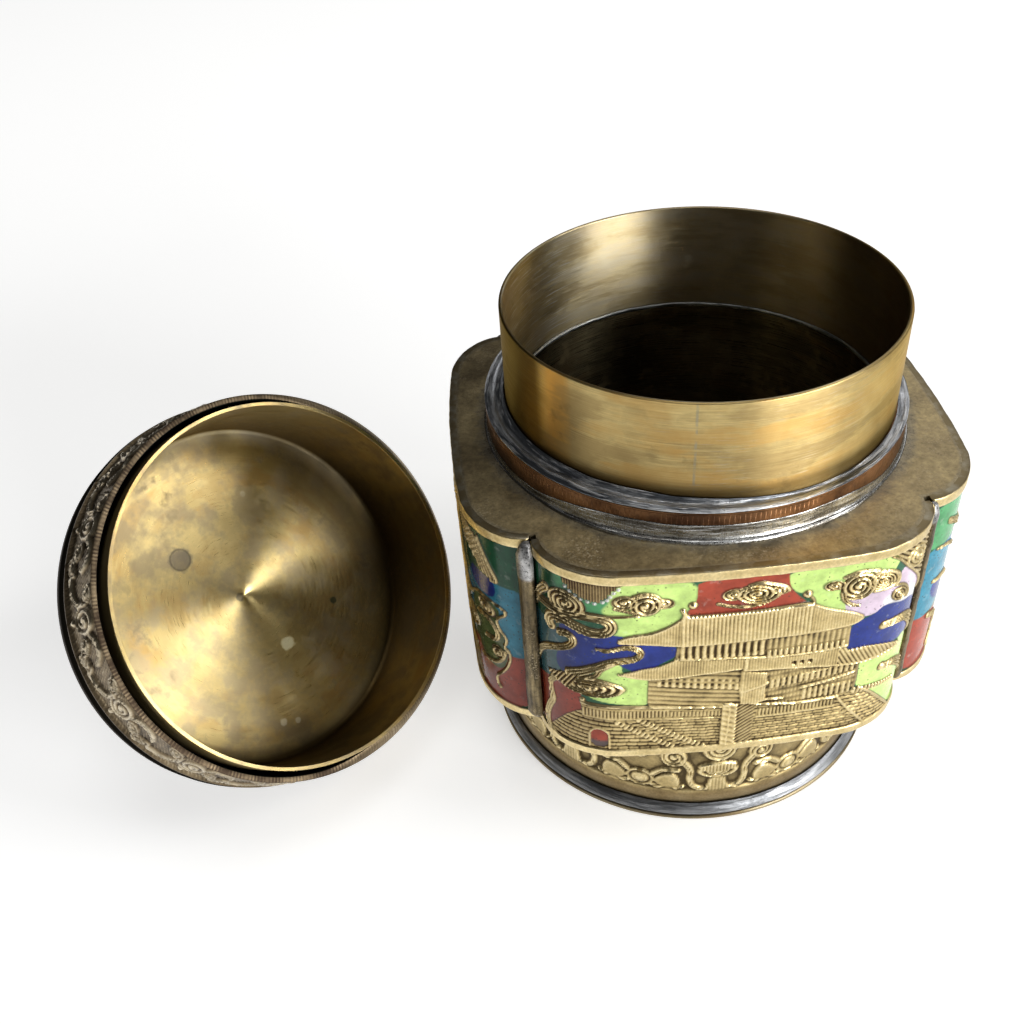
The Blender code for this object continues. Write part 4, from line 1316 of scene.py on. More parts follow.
        # big eye on the right, its ribbed wing and the lobes under it
        self.swirl((22.3, 44.4), (3.6, 3.5), 3.2, 0, 0.95, -1)
        self.stroke([(25.6, 47.2), (29, 46.6), (31.6, 44.6), (31.4, 42.4), (28.6, 42), (26, 42.2)], 1, 1, 0.85)
        self.swirl((27.6, 44.6), (4.4, 2.6), 5, -0.35, 0.88, 0)
        self.swirl((17.4, 45.5), (2.1, 1.2), 2, -0.1, 0.85, 0, 0.2)
        self.stroke([(19.4, 43.2), (19.8, 41.2), (21.4, 39.6), (23, 39.2)], 1.3, 2, 0.85, (1, 0.5), 0.3)
        self.stroke([(19.2, 47.2), (22.2, 48.4), (26, 47.7)], 0.8, 1, 0.9)
        self.slab([(28.4, 51.4), (31.4, 48.4), (33.4, 45.6), (36, 42.8), (39, 39.6), (42.6, 34.4), (47, 27.6),
            (47, 51.4)], 0.78, lambda u, z: 0.5 + 0.5 * wave((0.75 * u + z) / 1.25), 0.1, 1)
        self.stroke([(28.6, 50.2), (31, 48.6), (33.2, 45.9), (36, 43.1), (39, 39.9), (42.6, 34.7), (46.8, 28)], 0.6, 1,
            0.95)
        self.swirl((36.4, 46.8), (4.2, 2.9), 3, -0.5, 0.98)
        self.swirl((32.8, 38.6), (2.6, 1.7), 2.4, -0.6, 0.8, 0, 0.35)
        self.stroke([(31, 41.8), (33.6, 40.8), (35.6, 38.4), (35.2, 36.6)], 0.7, 1, 0.8, tone=0.3)
        # tongue in the right cobalt
        self.stroke([(30, 31.4), (33.6, 31), (37.4, 29.8), (41, 26.2), (44, 22.4), (47, 17.5)], 3, 4, 0.86, (0.6, 1.3))
        self.ball((30, 31.3), 1.15, 1)
        # tongue in the lower right lime
        self.stroke([(32.2, 18.1), (36, 17.2), (40, 14), (44, 9.6), (47, 5)], 3, 4, 0.86, (0.6, 1.2))
        self.ball((32, 18.1), 1.15, 1)
        # hook in the left cobalt, and the ribbon from it to the lower left cloud
        self.stroke([(-28.6, 33), (-26.4, 32.8), (-24.2, 33.5), (-22.4, 33.9), (-20.4, 33.1), (-19.7, 31.6),
            (-20.8, 30.3), (-23.2, 29.9), (-25.6, 29.6), (-28.4, 28), (-31.6, 25.9), (-34.8, 24.2)], 2.7, 3, 0.95,
            (0.3, 0.95))
        self.stroke([(-25.6, 28.9), (-28.2, 26.9), (-28.8, 25), (-31, 24)], 1.2, 2, 0.86)
        self.swirl((-30.9, 21.3), (7.9, 2.7), 4.3, -0.02, 0.92, 0)
        self.ball((-30.6, 21.1), 0.8, 1.1)
        self.stroke([(-38.6, 21), (-36, 22.8), (-32, 24), (-28, 23.9), (-24.6, 22.6), (-23.2, 21.2)], 0.7, 1, 0.95)
        self.slab([(-41, 21.4), (-36.4, 23.4), (-32.4, 24.4), (-35, 20), (-39.6, 19.6)], 0.8,
            lambda u, z: 0.4 + 0.6 * wave((u - 0.6 * z) / 1))
        self.stroke([(-38.8, 20.2), (-40.4, 18.4), (-40.2, 15.6), (-39.5, 13), (-41, 10.2), (-42.2, 6.4), (-42, 3.2),
            (-40, 1.8)], 2.5, 3, 0.85, (0.6, 0.8), 0.3)
        self.ball((-32.1, 17), 0.7, 0.8)
        # Painted shade: the left end of the scene is browner and darker, where less light falls.
        self.tone = np.maximum(self.tone, 0.5 * smooth_step((-23 - self.u) / 8))

    def pavilion(self) -> None:
        """Draw the plainer side scene: one wide roof over a hall, between clouds."""
        e = Enamel
        p = self.pitch
        for s in (-1, 1):
            self.paint(e.JADE if s < 0 else e.GREEN, [(s * 47, 38.2), (s * 47, 51.5), (s * 14, 51.5), (s * 18, 44),
                (s * 26, 40), (s * 34, 38.5)])
            self.paint(e.TURQUOISE, [(s * 47, 18.4), (s * 47, 38.2), (s * 34, 38.5), (s * 24, 35), (s * 22, 26),
                (s * 30, 21), (s * 38, 18)])
            self.paint(e.RED, [(s * 47, 1.5), (s * 47, 18.4), (s * 38, 18), (s * 30, 17), (s * 22, 13), (s * 24, 1.5)])
        self.paint(e.COBALT, [(-14, 51.5), (14, 51.5), (12, 46), (8, 42.6), (-8, 42.6), (-12, 46)])
        for s in (-1, 1):
            self.paint(e.LIME, [(s * 20, 51.5), (s * 9, 51.5), (s * 9, 44), (s * 14, 41), (s * 20, 44)], 0.3)
        self.paint(e.COBALT, [(-40.2, 27), (-37, 27.4), (-32, 25), (-28, 21), (-31, 18.6), (-36, 20.5), (-39.6, 23.5)])
        self.paint(e.COBALT, [(37.4, 38.6), (37, 33.6), (32, 33), (27, 34.5), (28, 38.5), (33, 39)])
        self.paint(e.OLIVE, [(38.6, 31), (36.6, 27.2), (39, 23), (38.4, 20.4), (39.6, 17), (37, 11.4), (30, 12),
            (26, 20), (27, 30), (32, 32.4)])
        # yard, hall and roof
        self.slab([(-26.5, 13), (26.5, 13), (29, 1.5), (-29, 1.5)], 0.52, courses(1.25, 2.5))
        self.slab([(-26, 12.4), (26, 12.4), (26, 10.2), (-26, 10.2)], 0.74, ribs(p, 0, 0.8))
        self.stroke([(-26.5, 12.9), (26.5, 12.9)], 0.9, 1, 1)
        self.stroke([(-26.8, 9.9), (26.8, 9.9)], 0.6, 1, 0.85)
        self.slab([(-17.2, 28.6), (17.2, 28.6), (17.2, 13), (-17.2, 13)], 0.58, courses(1.05, 1.9))
        for k in range(-3, 4):
            self.slab([(k * 5.0 - 0.6, 13.2), (k * 5.0 + 0.6, 13.2), (k * 5.0 + 0.6, 28.4), (k * 5.0 - 0.6, 28.4)],
                0.98)
            if k < 3:
                door = [(k * 5.0 + 1.2, 13.4), (k * 5.0 + 1.2, 21), (k * 5.0 + 2.5, 23), (k * 5.0 + 3.8, 21),
                    (k * 5.0 + 3.8, 13.4)]
                self.slab(door, 0.3, lambda u, z: 0.4 + 0.6 * wave(u / self.fine) * wave(z / 1.1), 0.4, 1)
                self.stroke(door, 0.4, 1, 0.84, rounds=1)
        self.stroke([(-17.4, 27), (17.4, 27)], 0.7, 1, 1)
        roof = [(-27.5, 29.2), (-23, 31.0), (-17, 33.5), (-11, 37.5), (-7.5, 41), (7.5, 41), (11, 37.5), (17, 33.5),
            (23, 31), (27.5, 29.2), (20, 28.0), (-20, 28.0)]
        self.slab(roof, 1.05, ribs(p, 0, 0.66))
        self.stroke([(-27.6, 29.4), (-20, 28.1), (0, 28.4), (20, 28.1), (27.6, 29.4)], 0.8, 1, 1.1)
        for s in (-1, 1):
            self.stroke([(s * 7.4, 41), (s * 11, 37.6), (s * 17, 33.6), (s * 23, 31.1), (s * 27.6, 29.5)], 0.7, 1, 1.1)
            self.ball((s * 7.6, 43.2), 0.95, 1.15)
        self.stroke([(-8.4, 42.4), (-7.4, 41.2), (0, 41), (7.4, 41.2), (8.4, 42.4)], 1, 1, 1.2)
        self.slab([(-1.6, 12.6), (1.6, 12.6), (4.2, 1.8), (-4.2, 1.8)], 0.8, lambda u, z: 0.35 + 0.65 * wave(z / 1.05),
            0.1)
        for s in (-1, 1):
            self.stroke([(s * 1.7, 12.8), (s * 4.4, 1.8)], 0.9, 1, 1.05)
        self.height = self.blur(0.13)
        self.pavilion_clouds()

    def pavilion_clouds(self) -> None:
        """Draw the clouds at both ends of the side scene."""
        self.stroke([(-39, 44.6), (-35, 42.4), (-31, 39.4), (-26, 38.2), (-22, 40)], 2.6, 3, 0.88, (0.6, 1))
        self.swirl((-21.5, 43.5), (4.4, 3), 3.4, 0, 0.9)
        self.stroke([(-41.4, 38.2), (-37, 37.4), (-33, 34.6), (-29, 31.6), (-24, 31)], 1.5, 2, 0.84, (0.5, 1), 0.3)
        self.stroke([(-39.8, 28), (-36, 27.9), (-31.5, 25.8), (-27.6, 21.6)], 1.1, 1, 0.9)
        self.swirl((-24.4, 20.6), (4.4, 3.2), 3.4, 0.2, 0.9, -1)
        self.stroke([(-38.6, 17.2), (-34.6, 15.4), (-31.4, 11.6), (-30, 6.6), (-32.4, 3.6)], 2.6, 3, 0.9, (0.6, 0.9))
        self.slab([(14.5, 51.2), (33, 49), (35.8, 43.6), (38.6, 38.8), (33.4, 39.4), (30, 42.6), (25, 44.6),
            (18, 46.4)], 0.72, ribs(1.1, 0.5, 1.2), 0.7, 1)
        self.stroke([(33, 49), (35.8, 43.8), (38.8, 38.9), (36.2, 38.9)], 0.6, 1, 0.95)
        self.stroke([(26.5, 29), (29.4, 31.4), (32, 32.7), (36, 32.4), (39.6, 31.8), (39.7, 30.2), (37.8, 28.8),
            (36.8, 27.3), (37.8, 25), (39.4, 23.4), (39.2, 21.5), (38.4, 20.4), (39.9, 19.3), (40, 17), (39, 14),
            (37, 11), (35.3, 9.2), (35.4, 7.2), (36.4, 6)], 0.65, 1, 0.95, rounds=1)
        self.swirl((33.8, 29.4), (3, 2), 2.6, -0.3, 0.86, tone=0.3)
        self.stroke([(30, 26), (33.4, 26.6), (36, 25.4), (37.2, 23), (36.2, 21), (33, 20.6)], 1.3, 2, 0.84, tone=0.3)
        self.swirl((36.6, 17.4), (2.2, 2), 2.2, 0, 0.86, tone=0.3)
        self.swirl((26, 22), (4, 3), 3.2, 0, 0.88)
        self.stroke([(38.8, 18.6), (37.6, 15.2), (34.6, 13), (30, 12.4)], 0.9, 2, 0.84, tone=0.2)
        # Painted shade: the scene's end past u = 20 is browner and darker, for the shadow where the left panel meets
        # the front.
        self.tone = np.maximum(self.tone, 0.6 * smooth_step((self.u - 20) / 8))


# ---------------------------------------------------------------- sub-assemblies


@dataclass
class Body:
    """The four enamelled panels with their corner strips and plates, all sizes in millimetres."""

    half: float = 39.7
    lobe_depth: float = 11.5
    lobe_round: float = 15.9
    bow: float = 3.0
    floor: float = 32.1
    height: float = 53.0
    thickness: float = 1.7
    sunk: float = 0.8
    gap: float = 0.3
    plate: float = 1.2
    neck: float = 42.0
    strips_leg: tuple[float, float, float, float] = (2.9, 1.9, 1.9, 1.9)
    strip_lift: float = 2.2
    enamel: float = 0.35

    def outline(self, inset: float, count: int = 401) -> Array:
        """Return the outer line of one panel in plan, left to right, facing -Y.

        Args:
            inset: Distance inside the outer face.
            count: Points in each part of the line.

        Returns:
            The line's points.
        """
        c, m = self.half - inset, self.half - self.lobe_round
        turn = np.linspace(0, math.pi / 2, count)
        x = np.concatenate([-m - (c - m) * np.cos(turn), np.linspace(-m, 0, count)[1:]])
        x = np.concatenate([x, -x[::-1][1:]])
        past = np.maximum(0, (np.abs(x) - m) / (c - m))
        y = -c - self.lobe_depth * np.sqrt(np.maximum(0, 1 - past**2)) - self.bow * (1 - (x / c) ** 2)
        return np.stack([x, y], -1)

    def along(self, places: Array) -> tuple[Array, Array]:
        """Return points and outward normals at lengths along the panel from its middle.

        Args:
            places: Lengths from the middle.

        Returns:
            The points and the normals.
        """
        line = self.outline(0.0)
        step = np.diff(line, axis=0)
        run = np.concatenate([[0], np.cumsum(np.hypot(*step.T))])
        run -= run[-1] / 2
        way = np.gradient(line, axis=0)
        way /= np.hypot(*way.T)[:, None]
        way[0], way[-1] = (0, -1), (0, 1)
        point = np.stack([np.interp(places, run, line[:, k]) for k in (0, 1)], -1)
        flow = np.stack([np.interp(places, run, way[:, k]) for k in (0, 1)], -1)
        flow /= np.hypot(*flow.T)[:, None]
        return point, np.stack([flow[:, 1], -flow[:, 0]], -1)

    def grid(self, fine: bool) -> tuple[Array, Array]:
        """Return places along and up a panel, closest where the scene is.

        Args:
            fine: Whether the panel is the one in front.

        Returns:
            Places along and places up.
        """
        half = self.arc() - self.gap / 2
        step, rows, sides = (0.1945, 216, 24) if fine else (0.2593, 158, 20)
        count = int(77 / step / 2) * 2
        middle = np.linspace(-count / 2 * step, count / 2 * step, count + 1)
        side = np.linspace(middle[-1], half, sides + 1)[1:]
        ends = np.array([0.0, 0.06, 0.18, 0.34])
        z = np.concatenate([ends[:-1], np.linspace(0.34, self.height - 0.34, rows + 1), self.height - ends[:-1][::-1]])
        return np.concatenate([-side[::-1], middle, side]), z

    def panel(self, name: str, draw: Callable[[Scenery], None], quarter: int, material: Material, slot: str) -> None:
        """Build one panel.

        Args:
            name: Name of the CAD node that it stands for.
            draw: Function that draws its scene on a relief.
            quarter: Quarter turns from the front.
            material: Its finish.
            slot: The record's material slot; not used.
        """
        u, z = self.grid(quarter == 0)
        half = u[-1]
        field = Scenery(u, z, Enamel.GREEN.value, self.enamel)
        draw(field)
        field.rim(half, self.height - 2.4)
        field.film = smooth_step((field.z - self.height + 0.22) / 0.16)
        rng = np.random.default_rng(quarter + 5)
        cast = np.zeros_like(field.height)
        for _ in range(26):
            fu, fz, ph = rng.normal(0, 0.5), rng.normal(0, 0.5), rng.uniform(0, 6.3)
            cast += np.cos(fu * field.u * 2 + fz * field.z * 2 + ph)
        field.height += 0.008 * cast * (field.metal > 0)
        point, normal = self.along(u)
        offset = field.height - self.sunk
        flat = point[:, None, :] + normal[:, None, :] * offset[..., None]
        front = np.concatenate([flat, np.broadcast_to(z + self.floor, offset.shape)[..., None]], -1)
        count_u, count_z = offset.shape
        back = []
        for level in (0.0, self.height):
            inner = point - normal * self.thickness
            back.append(np.concatenate([inner, np.full((count_u, 1), level + self.floor)], -1))
        points = np.concatenate([front.reshape(-1, 3), back[0], back[1]]) * MM
        points = points @ spin(quarter).T
        k = np.arange(count_u - 1)
        low, high = count_u * count_z + k, count_u * count_z + count_u + k
        first = k * count_z
        quads = np.concatenate([
            net(count_u, count_z, False, False),
            np.stack([low + 1, low, high, high + 1], -1),
            np.stack([first, low, low + 1, first + count_z], -1),
            np.stack([first + count_z - 1, first + 2 * count_z - 1, high + 1, high], -1),
        ])
        last = (count_u - 1) * count_z
        base = count_u * count_z
        ends_faces = [
            [*range(count_z), base + count_u, base],
            [*reversed(range(last, last + count_z)), base + count_u - 1, base + 2 * count_u - 1],
        ]
        piece = make_mesh(name + "_relief", points, quads, None, 60.0, ends_faces)
        field.store(piece, 0.8)
        dress(piece, material, slot, name)

    def arc(self) -> float:
        """Return half the length of a panel's outer line."""
        return float(np.hypot(*np.diff(self.outline(0.0), axis=0).T).sum() / 2)

    def strips(self, material: Material) -> None:
        """Build the four corner strips, which fill the corners and taper into the plate's notches.

        Args:
            material: Their finish.
        """
        names = ("front_left", "front_right", "back_right", "back_left")
        top = self.height - self.gap
        rows = np.concatenate([np.linspace(self.strip_lift, top - 3, 60), np.linspace(top - 2.6, top, 9)])
        for quarter, place in enumerate(names):
            leg = self.strips_leg[quarter]
            wobble = ripple(40 + quarter, 14, 0.10)(rows / 7.0)
            ends = np.minimum((rows - self.strip_lift) / 1.4, (top - rows) / 2.6)
            legs = (leg - 0.12 + wobble) * (0.45 + 0.55 * np.sqrt(np.clip(ends, 0, 1)))
            rings = [[(-x, -y, z + self.floor) for x, y in self.corner_section(size)] for z, size in zip(rows, legs)]
            piece = self.loft("corner_strip_" + place, np.array(rings) * MM, quarter, material, "strip_brass")
            low = (8.5, 4.0, 5.0, 6.0)[quarter]
            mark(piece, "solder", lambda co: smooth_step((co[:, 2] / MM - self.floor - top + low) / 0.35 + 0.5))

    def corner_section(self, leg: float) -> Line:
        """Return half-open section of a strip: along one panel's end, round outside, and back along the other's.

        Args:
            leg: How far it reaches along each panel.

        Returns:
            The section's corners.
        """
        side = []
        for s in np.linspace(0.3, leg * 0.9, 6):
            inward = self.lobe_round * (1 - math.sqrt(1 - (s / self.lobe_depth) ** 2))
            side.append((self.half - inward + 0.14, self.half + s))
        turn = np.radians(np.linspace(8, 82, 10))
        corner = self.half + 0.2
        outside = [(corner + leg * math.sin(t), corner + leg * math.cos(t)) for t in turn]
        return side + outside + [(y, x) for x, y in reversed(side)]

    def loft(self, name: str, rings: Array, quarter: int, material: Material, slot: str) -> Object:
        """Skin rings of points, cap them, and turn the piece by quarters.

        Args:
            name: Name of the CAD node.
            rings: Points by ring.
            quarter: Quarter turns from the front.
            material: Its finish.
            slot: The record's material slot; not used.

        Returns:
            The dressed piece.
        """
        count, size = rings.shape[:2]
        points = rings.reshape(-1, 3) @ spin(quarter).T
        quads = net(count, size, False, True)[:, [0, 3, 2, 1]]
        caps = [list(reversed(range(size))), list(range((count - 1) * size, count * size))]
        piece = weld(make_mesh(name + "_bar", points, quads, None, 50.0, caps))
        return dress(piece, material, slot, name)

    def plate_mesh(self, name: str, inner: float, bottom: float) -> Object:
        """Build a lobed plate, with a round hole or, if inner is 0, whole.

        Args:
            name: Name of the piece.
            inner: Radius of the hole.
            bottom: Height of its underside.

        Returns:
            The plate.
        """
        inset = self.thickness - 0.45
        side = self.outline(inset, 40)[:-1]
        rim = np.concatenate([side @ spin(quarter)[:2, :2].T for quarter in range(4)])
        length = np.hypot(*rim.T)[:, None]
        ring = rim / length
        top = bottom + self.plate
        start = ring * max(inner, 0.001)
        levels = [(start + (rim - start) * share, top) for share in (0.0, 0.2, 0.4, 0.6, 0.8)]
        levels += [(rim - ring * inward, top) for inward in (2.0, 1.5, 1.1, 0.8)]
        levels += [(rim - ring * 0.6, top - 0.015), (rim, top - 0.015), (rim, bottom), (start, bottom)]
        size = len(rim)
        points = np.concatenate([np.concatenate([p, np.full((size, 1), z)], -1) for p, z in levels]) * MM
        piece = weld(make_mesh(name, points, net(len(levels), size, True, True)))
        spread = np.hypot(*rim.T)
        turns = np.arctan2(rim[:, 1], rim[:, 0])
        order = np.argsort(turns)

        def seam(co: Array) -> Array:
            """Return 1 at the plate's edge, falling to 0 inside it."""
            reach = np.interp(np.arctan2(co[:, 1], co[:, 0]), turns[order], spread[order], period=2 * math.pi)
            return 0.4 * (1 - smooth_step((reach - 0.45 - np.hypot(co[:, 0], co[:, 1]) / MM) / 0.7))

        mark(piece, "solder", seam)
        return piece

    def build(self) -> None:
        """Build every piece of the body."""
        cast = CastBrass("enamelled_brass", enamelled=True).material()
        scenes = (Scenery.pagoda, Scenery.pavilion, Scenery.pagoda, Scenery.pavilion)
        for quarter, (side, draw) in enumerate(zip(("front", "right", "back", "left"), scenes)):
            self.panel("panel_" + side, draw, quarter, cast, side + "_enamel")
        grey = (0.36, 0.355, 0.35)
        dull = DullBrass(
            "strip_metal", (0.070, 0.052, 0.028), (0.22, 0.17, 0.09), 0.36, 0.9, grey, dirty=0.9, streaked=0.6
        )
        self.strips(dull.material())
        top = self.plate_mesh("top_plate_sheet", self.neck + self.gap, self.floor + self.height - self.plate)
        film = DullBrass("plate_film", collar=0.0470)
        dress(top, film.material(), "top_plate_brass", "top_plate")
        low = self.plate_mesh("bottom_plate_sheet", 0.0, self.floor)
        under = DullBrass("under_film", (0.16, 0.12, 0.06), (0.34, 0.26, 0.13))
        dress(low, under.material(), "plate_brass", "bottom_plate")


@dataclass
class Foot:
    """The round foot on its disc, in millimetres."""

    radius: float = 46.8
    wall: float = 2.0
    top: float = 31.8
    low: float = 1.5
    moulding: float = 7.3
    depth: float = 0.9
    base: float = 49.1
    motifs: int = 8
    columns: int = 736
    rows: int = 62

    def draw(self, field: Relief) -> None:
        """Draw cups on stems with scrolls and leaves between them, repeated round the foot.

        Args:
            field: The relief to draw on.
        """
        step = 2 * math.pi * self.radius / self.motifs
        for k in range(-1, self.motifs + 1):
            s = (k + 0.5) * step
            field.slab([(s - 3.4, 7.6), (s - 2.2, 9.4), (s - 1.7, 12.4), (s + 1.7, 12.4), (s + 2.2, 9.4),
                (s + 3.4, 7.6)], 0.8, ribs(0.8, 0, 0.35), 0, 1)
            field.swirl((s, 14.6), (5, 2.3), 2.4, 0, 0.9, 0)
            field.slab([(s - 5.2, 16.6), (s - 2.6, 14.4), (s + 2.6, 14.4), (s + 5.2, 16.6), (s, 17.8)], 0.9,
                ribs(0.8, 0, 0.5), 0, 1)
            field.swirl((s, 22.6), (4, 4.2), 3, 0, 0.9)
            field.swirl((s, 28.6), (5.6, 2), 2.2, 0, 0.85, 0)
            for d in (-1, 1):
                field.stroke([(s + d * 3, 8.2), (s + d * 5.6, 8.6), (s + d * 6.8, 11.4), (s + d * 6.2, 15),
                    (s + d * 8.4, 18.2)], 1.7, 2, 0.85, (0.7, 1))
                field.swirl((s + d * 10.4, 19.4), (3, 3), 2.4, 0, 0.88, float(d))
                field.stroke([(s + d * 5.4, 24), (s + d * 8.6, 26.6), (s + d * 12.4, 25), (s + d * 15, 27.4)], 1.6, 2,
                    0.8, (1, 0.6))
                field.slab([(s + d * 8.4, 9), (s + d * 12.4, 8.2), (s + d * 15.6, 10.2), (s + d * 13, 12.8),
                    (s + d * 10, 13.6)], 0.62, None, 0, 2)
                field.stroke([(s + d * 8.2, 8.8), (s + d * 11.4, 7.8), (s + d * 15.4, 8.6)], 1.1, 2, 0.85, (0.8, 1))
                field.stroke([(s + d * 9.4, 14.6), (s + d * 12.6, 15), (s + d * 15.2, 12.6)], 1.2, 2, 0.8)
            field.ball((s + step / 2, 10.6), 1.7, 0.95)
            field.swirl((s + step / 2, 10.6), (3.2, 2.7), 2, 0, 0.8, 0)
            field.swirl((s + step / 2, 21.8), (2.4, 3.4), 2, 0, 0.85, 0)

    def build(self) -> None:
        """Build the disc, its solder and the foot."""
        bronze = CastBrass("foot_cast", (0.80, 0.665, 0.37), (0.48, 0.37, 0.17), (0.085, 0.06, 0.028), 0.34).material()
        width = 2 * math.pi * self.radius
        s = np.linspace(0, width, self.columns, endpoint=False)
        smooth = np.linspace(2.2, self.moulding - 0.3, 10)
        relief = np.linspace(self.moulding, self.top - 0.3, self.rows)
        z = np.concatenate([[self.low, self.low + 0.2], smooth, relief, [self.top]])
        field = Relief(s, z, (0.3, 0.2, 0.1))
        self.draw(field)
        band = smooth_step((field.z - self.moulding) / 0.8)
        bulge = 0.55 + 0.40 * np.sin(np.clip((field.z - 1.5) / 6.0, 0, 1) * math.pi)
        field.height = field.height * band + (1 - band) * bulge
        edge = smooth_step((field.z - (self.top - 1.6)) / 0.5)
        field.height = field.height * (1 - edge) + 0.85 * edge
        field.metal[:] = 2.0
        field.tone = 0.85 * smooth_step((7.8 - field.z) / 1.4)
        field.height = field.blur(0.16)
        angle = s / self.radius - math.pi / 2 - math.pi / self.motifs
        radius = self.radius - self.depth + np.minimum(field.height, self.depth)
        outer = polar(radius, angle[:, None], z)
        count_u, count_z = radius.shape
        inner = [polar(self.radius - self.wall, angle, level) for level in (self.top, self.low)]
        points = np.concatenate([outer.reshape(-1, 3), *inner]) * MM
        k = np.arange(count_u)
        k2 = (k + 1) % count_u
        high, low = count_u * count_z + k, count_u * count_z + count_u + k
        high2, low2 = count_u * count_z + k2, count_u * count_z + count_u + k2
        quads = np.concatenate([
            net(count_u, count_z, True, False),
            np.stack([k * count_z + count_z - 1, k2 * count_z + count_z - 1, high2, high], -1),
            np.stack([high, high2, low2, low], -1),
            np.stack([low, low2, k2 * count_z, k * count_z], -1),
        ])
        drum = make_mesh("foot_relief", points, quads, None, 50.0)
        field.store(drum, 0.35)
        dress(drum, bronze, "foot_brass", "foot_drum")
        disc = rounded([(0, 1.2), (self.base, 1.2), (self.base, 0), (0, 0)], 0.4, False)
        sheet = Turned("base_sheet", disc, 192, False).build()
        brass = BrushedBrass(
            "base_brass", (0.40, 0.34, 0.22), (0.20, 0.165, 0.10), (0.26, 0.19, 0.10), stained=0.8, roughness=0.4
        )
        dress(sheet, brass.material(), "base_brass", "base_disc")
        wobble, lump = ripple(3, 30, 0.16), ripple(4, 60, 0.10)

        def run(angle: Array, radius: Array, height: Array) -> tuple[Array, Array]:
            """Move the solder's face as it was smeared.

            Args:
                angle: Turn about the axis in radians.
                radius: Distance from the axis in metres.
                height: Height in metres.

            Returns:
                The moved distances and heights.
            """
            share = np.clip((height / MM - 1.6) / 1.8, 0, 1)
            lift = 0.5 * wobble(angle) + 0.5 * lump(angle)
            return radius + MM * (0.1 * wobble(angle)) * share, height + MM * lift * share

        fillet = [(47.1, 3.5), (47.5, 3.25), (48.0, 2.7), (48.4, 2.05), (48.75, 1.65), (48.8, 1.5), (47.1, 1.5)]
        ring = Turned("base_solder_run", fillet, 288).build(run)
        tin = Solder("base_tin", (0.135, 0.14, 0.145), (0.31, 0.315, 0.325), 0.40, 0.12, 0.4)
        dress(ring, tin.material(), "base_solder", "base_solder")


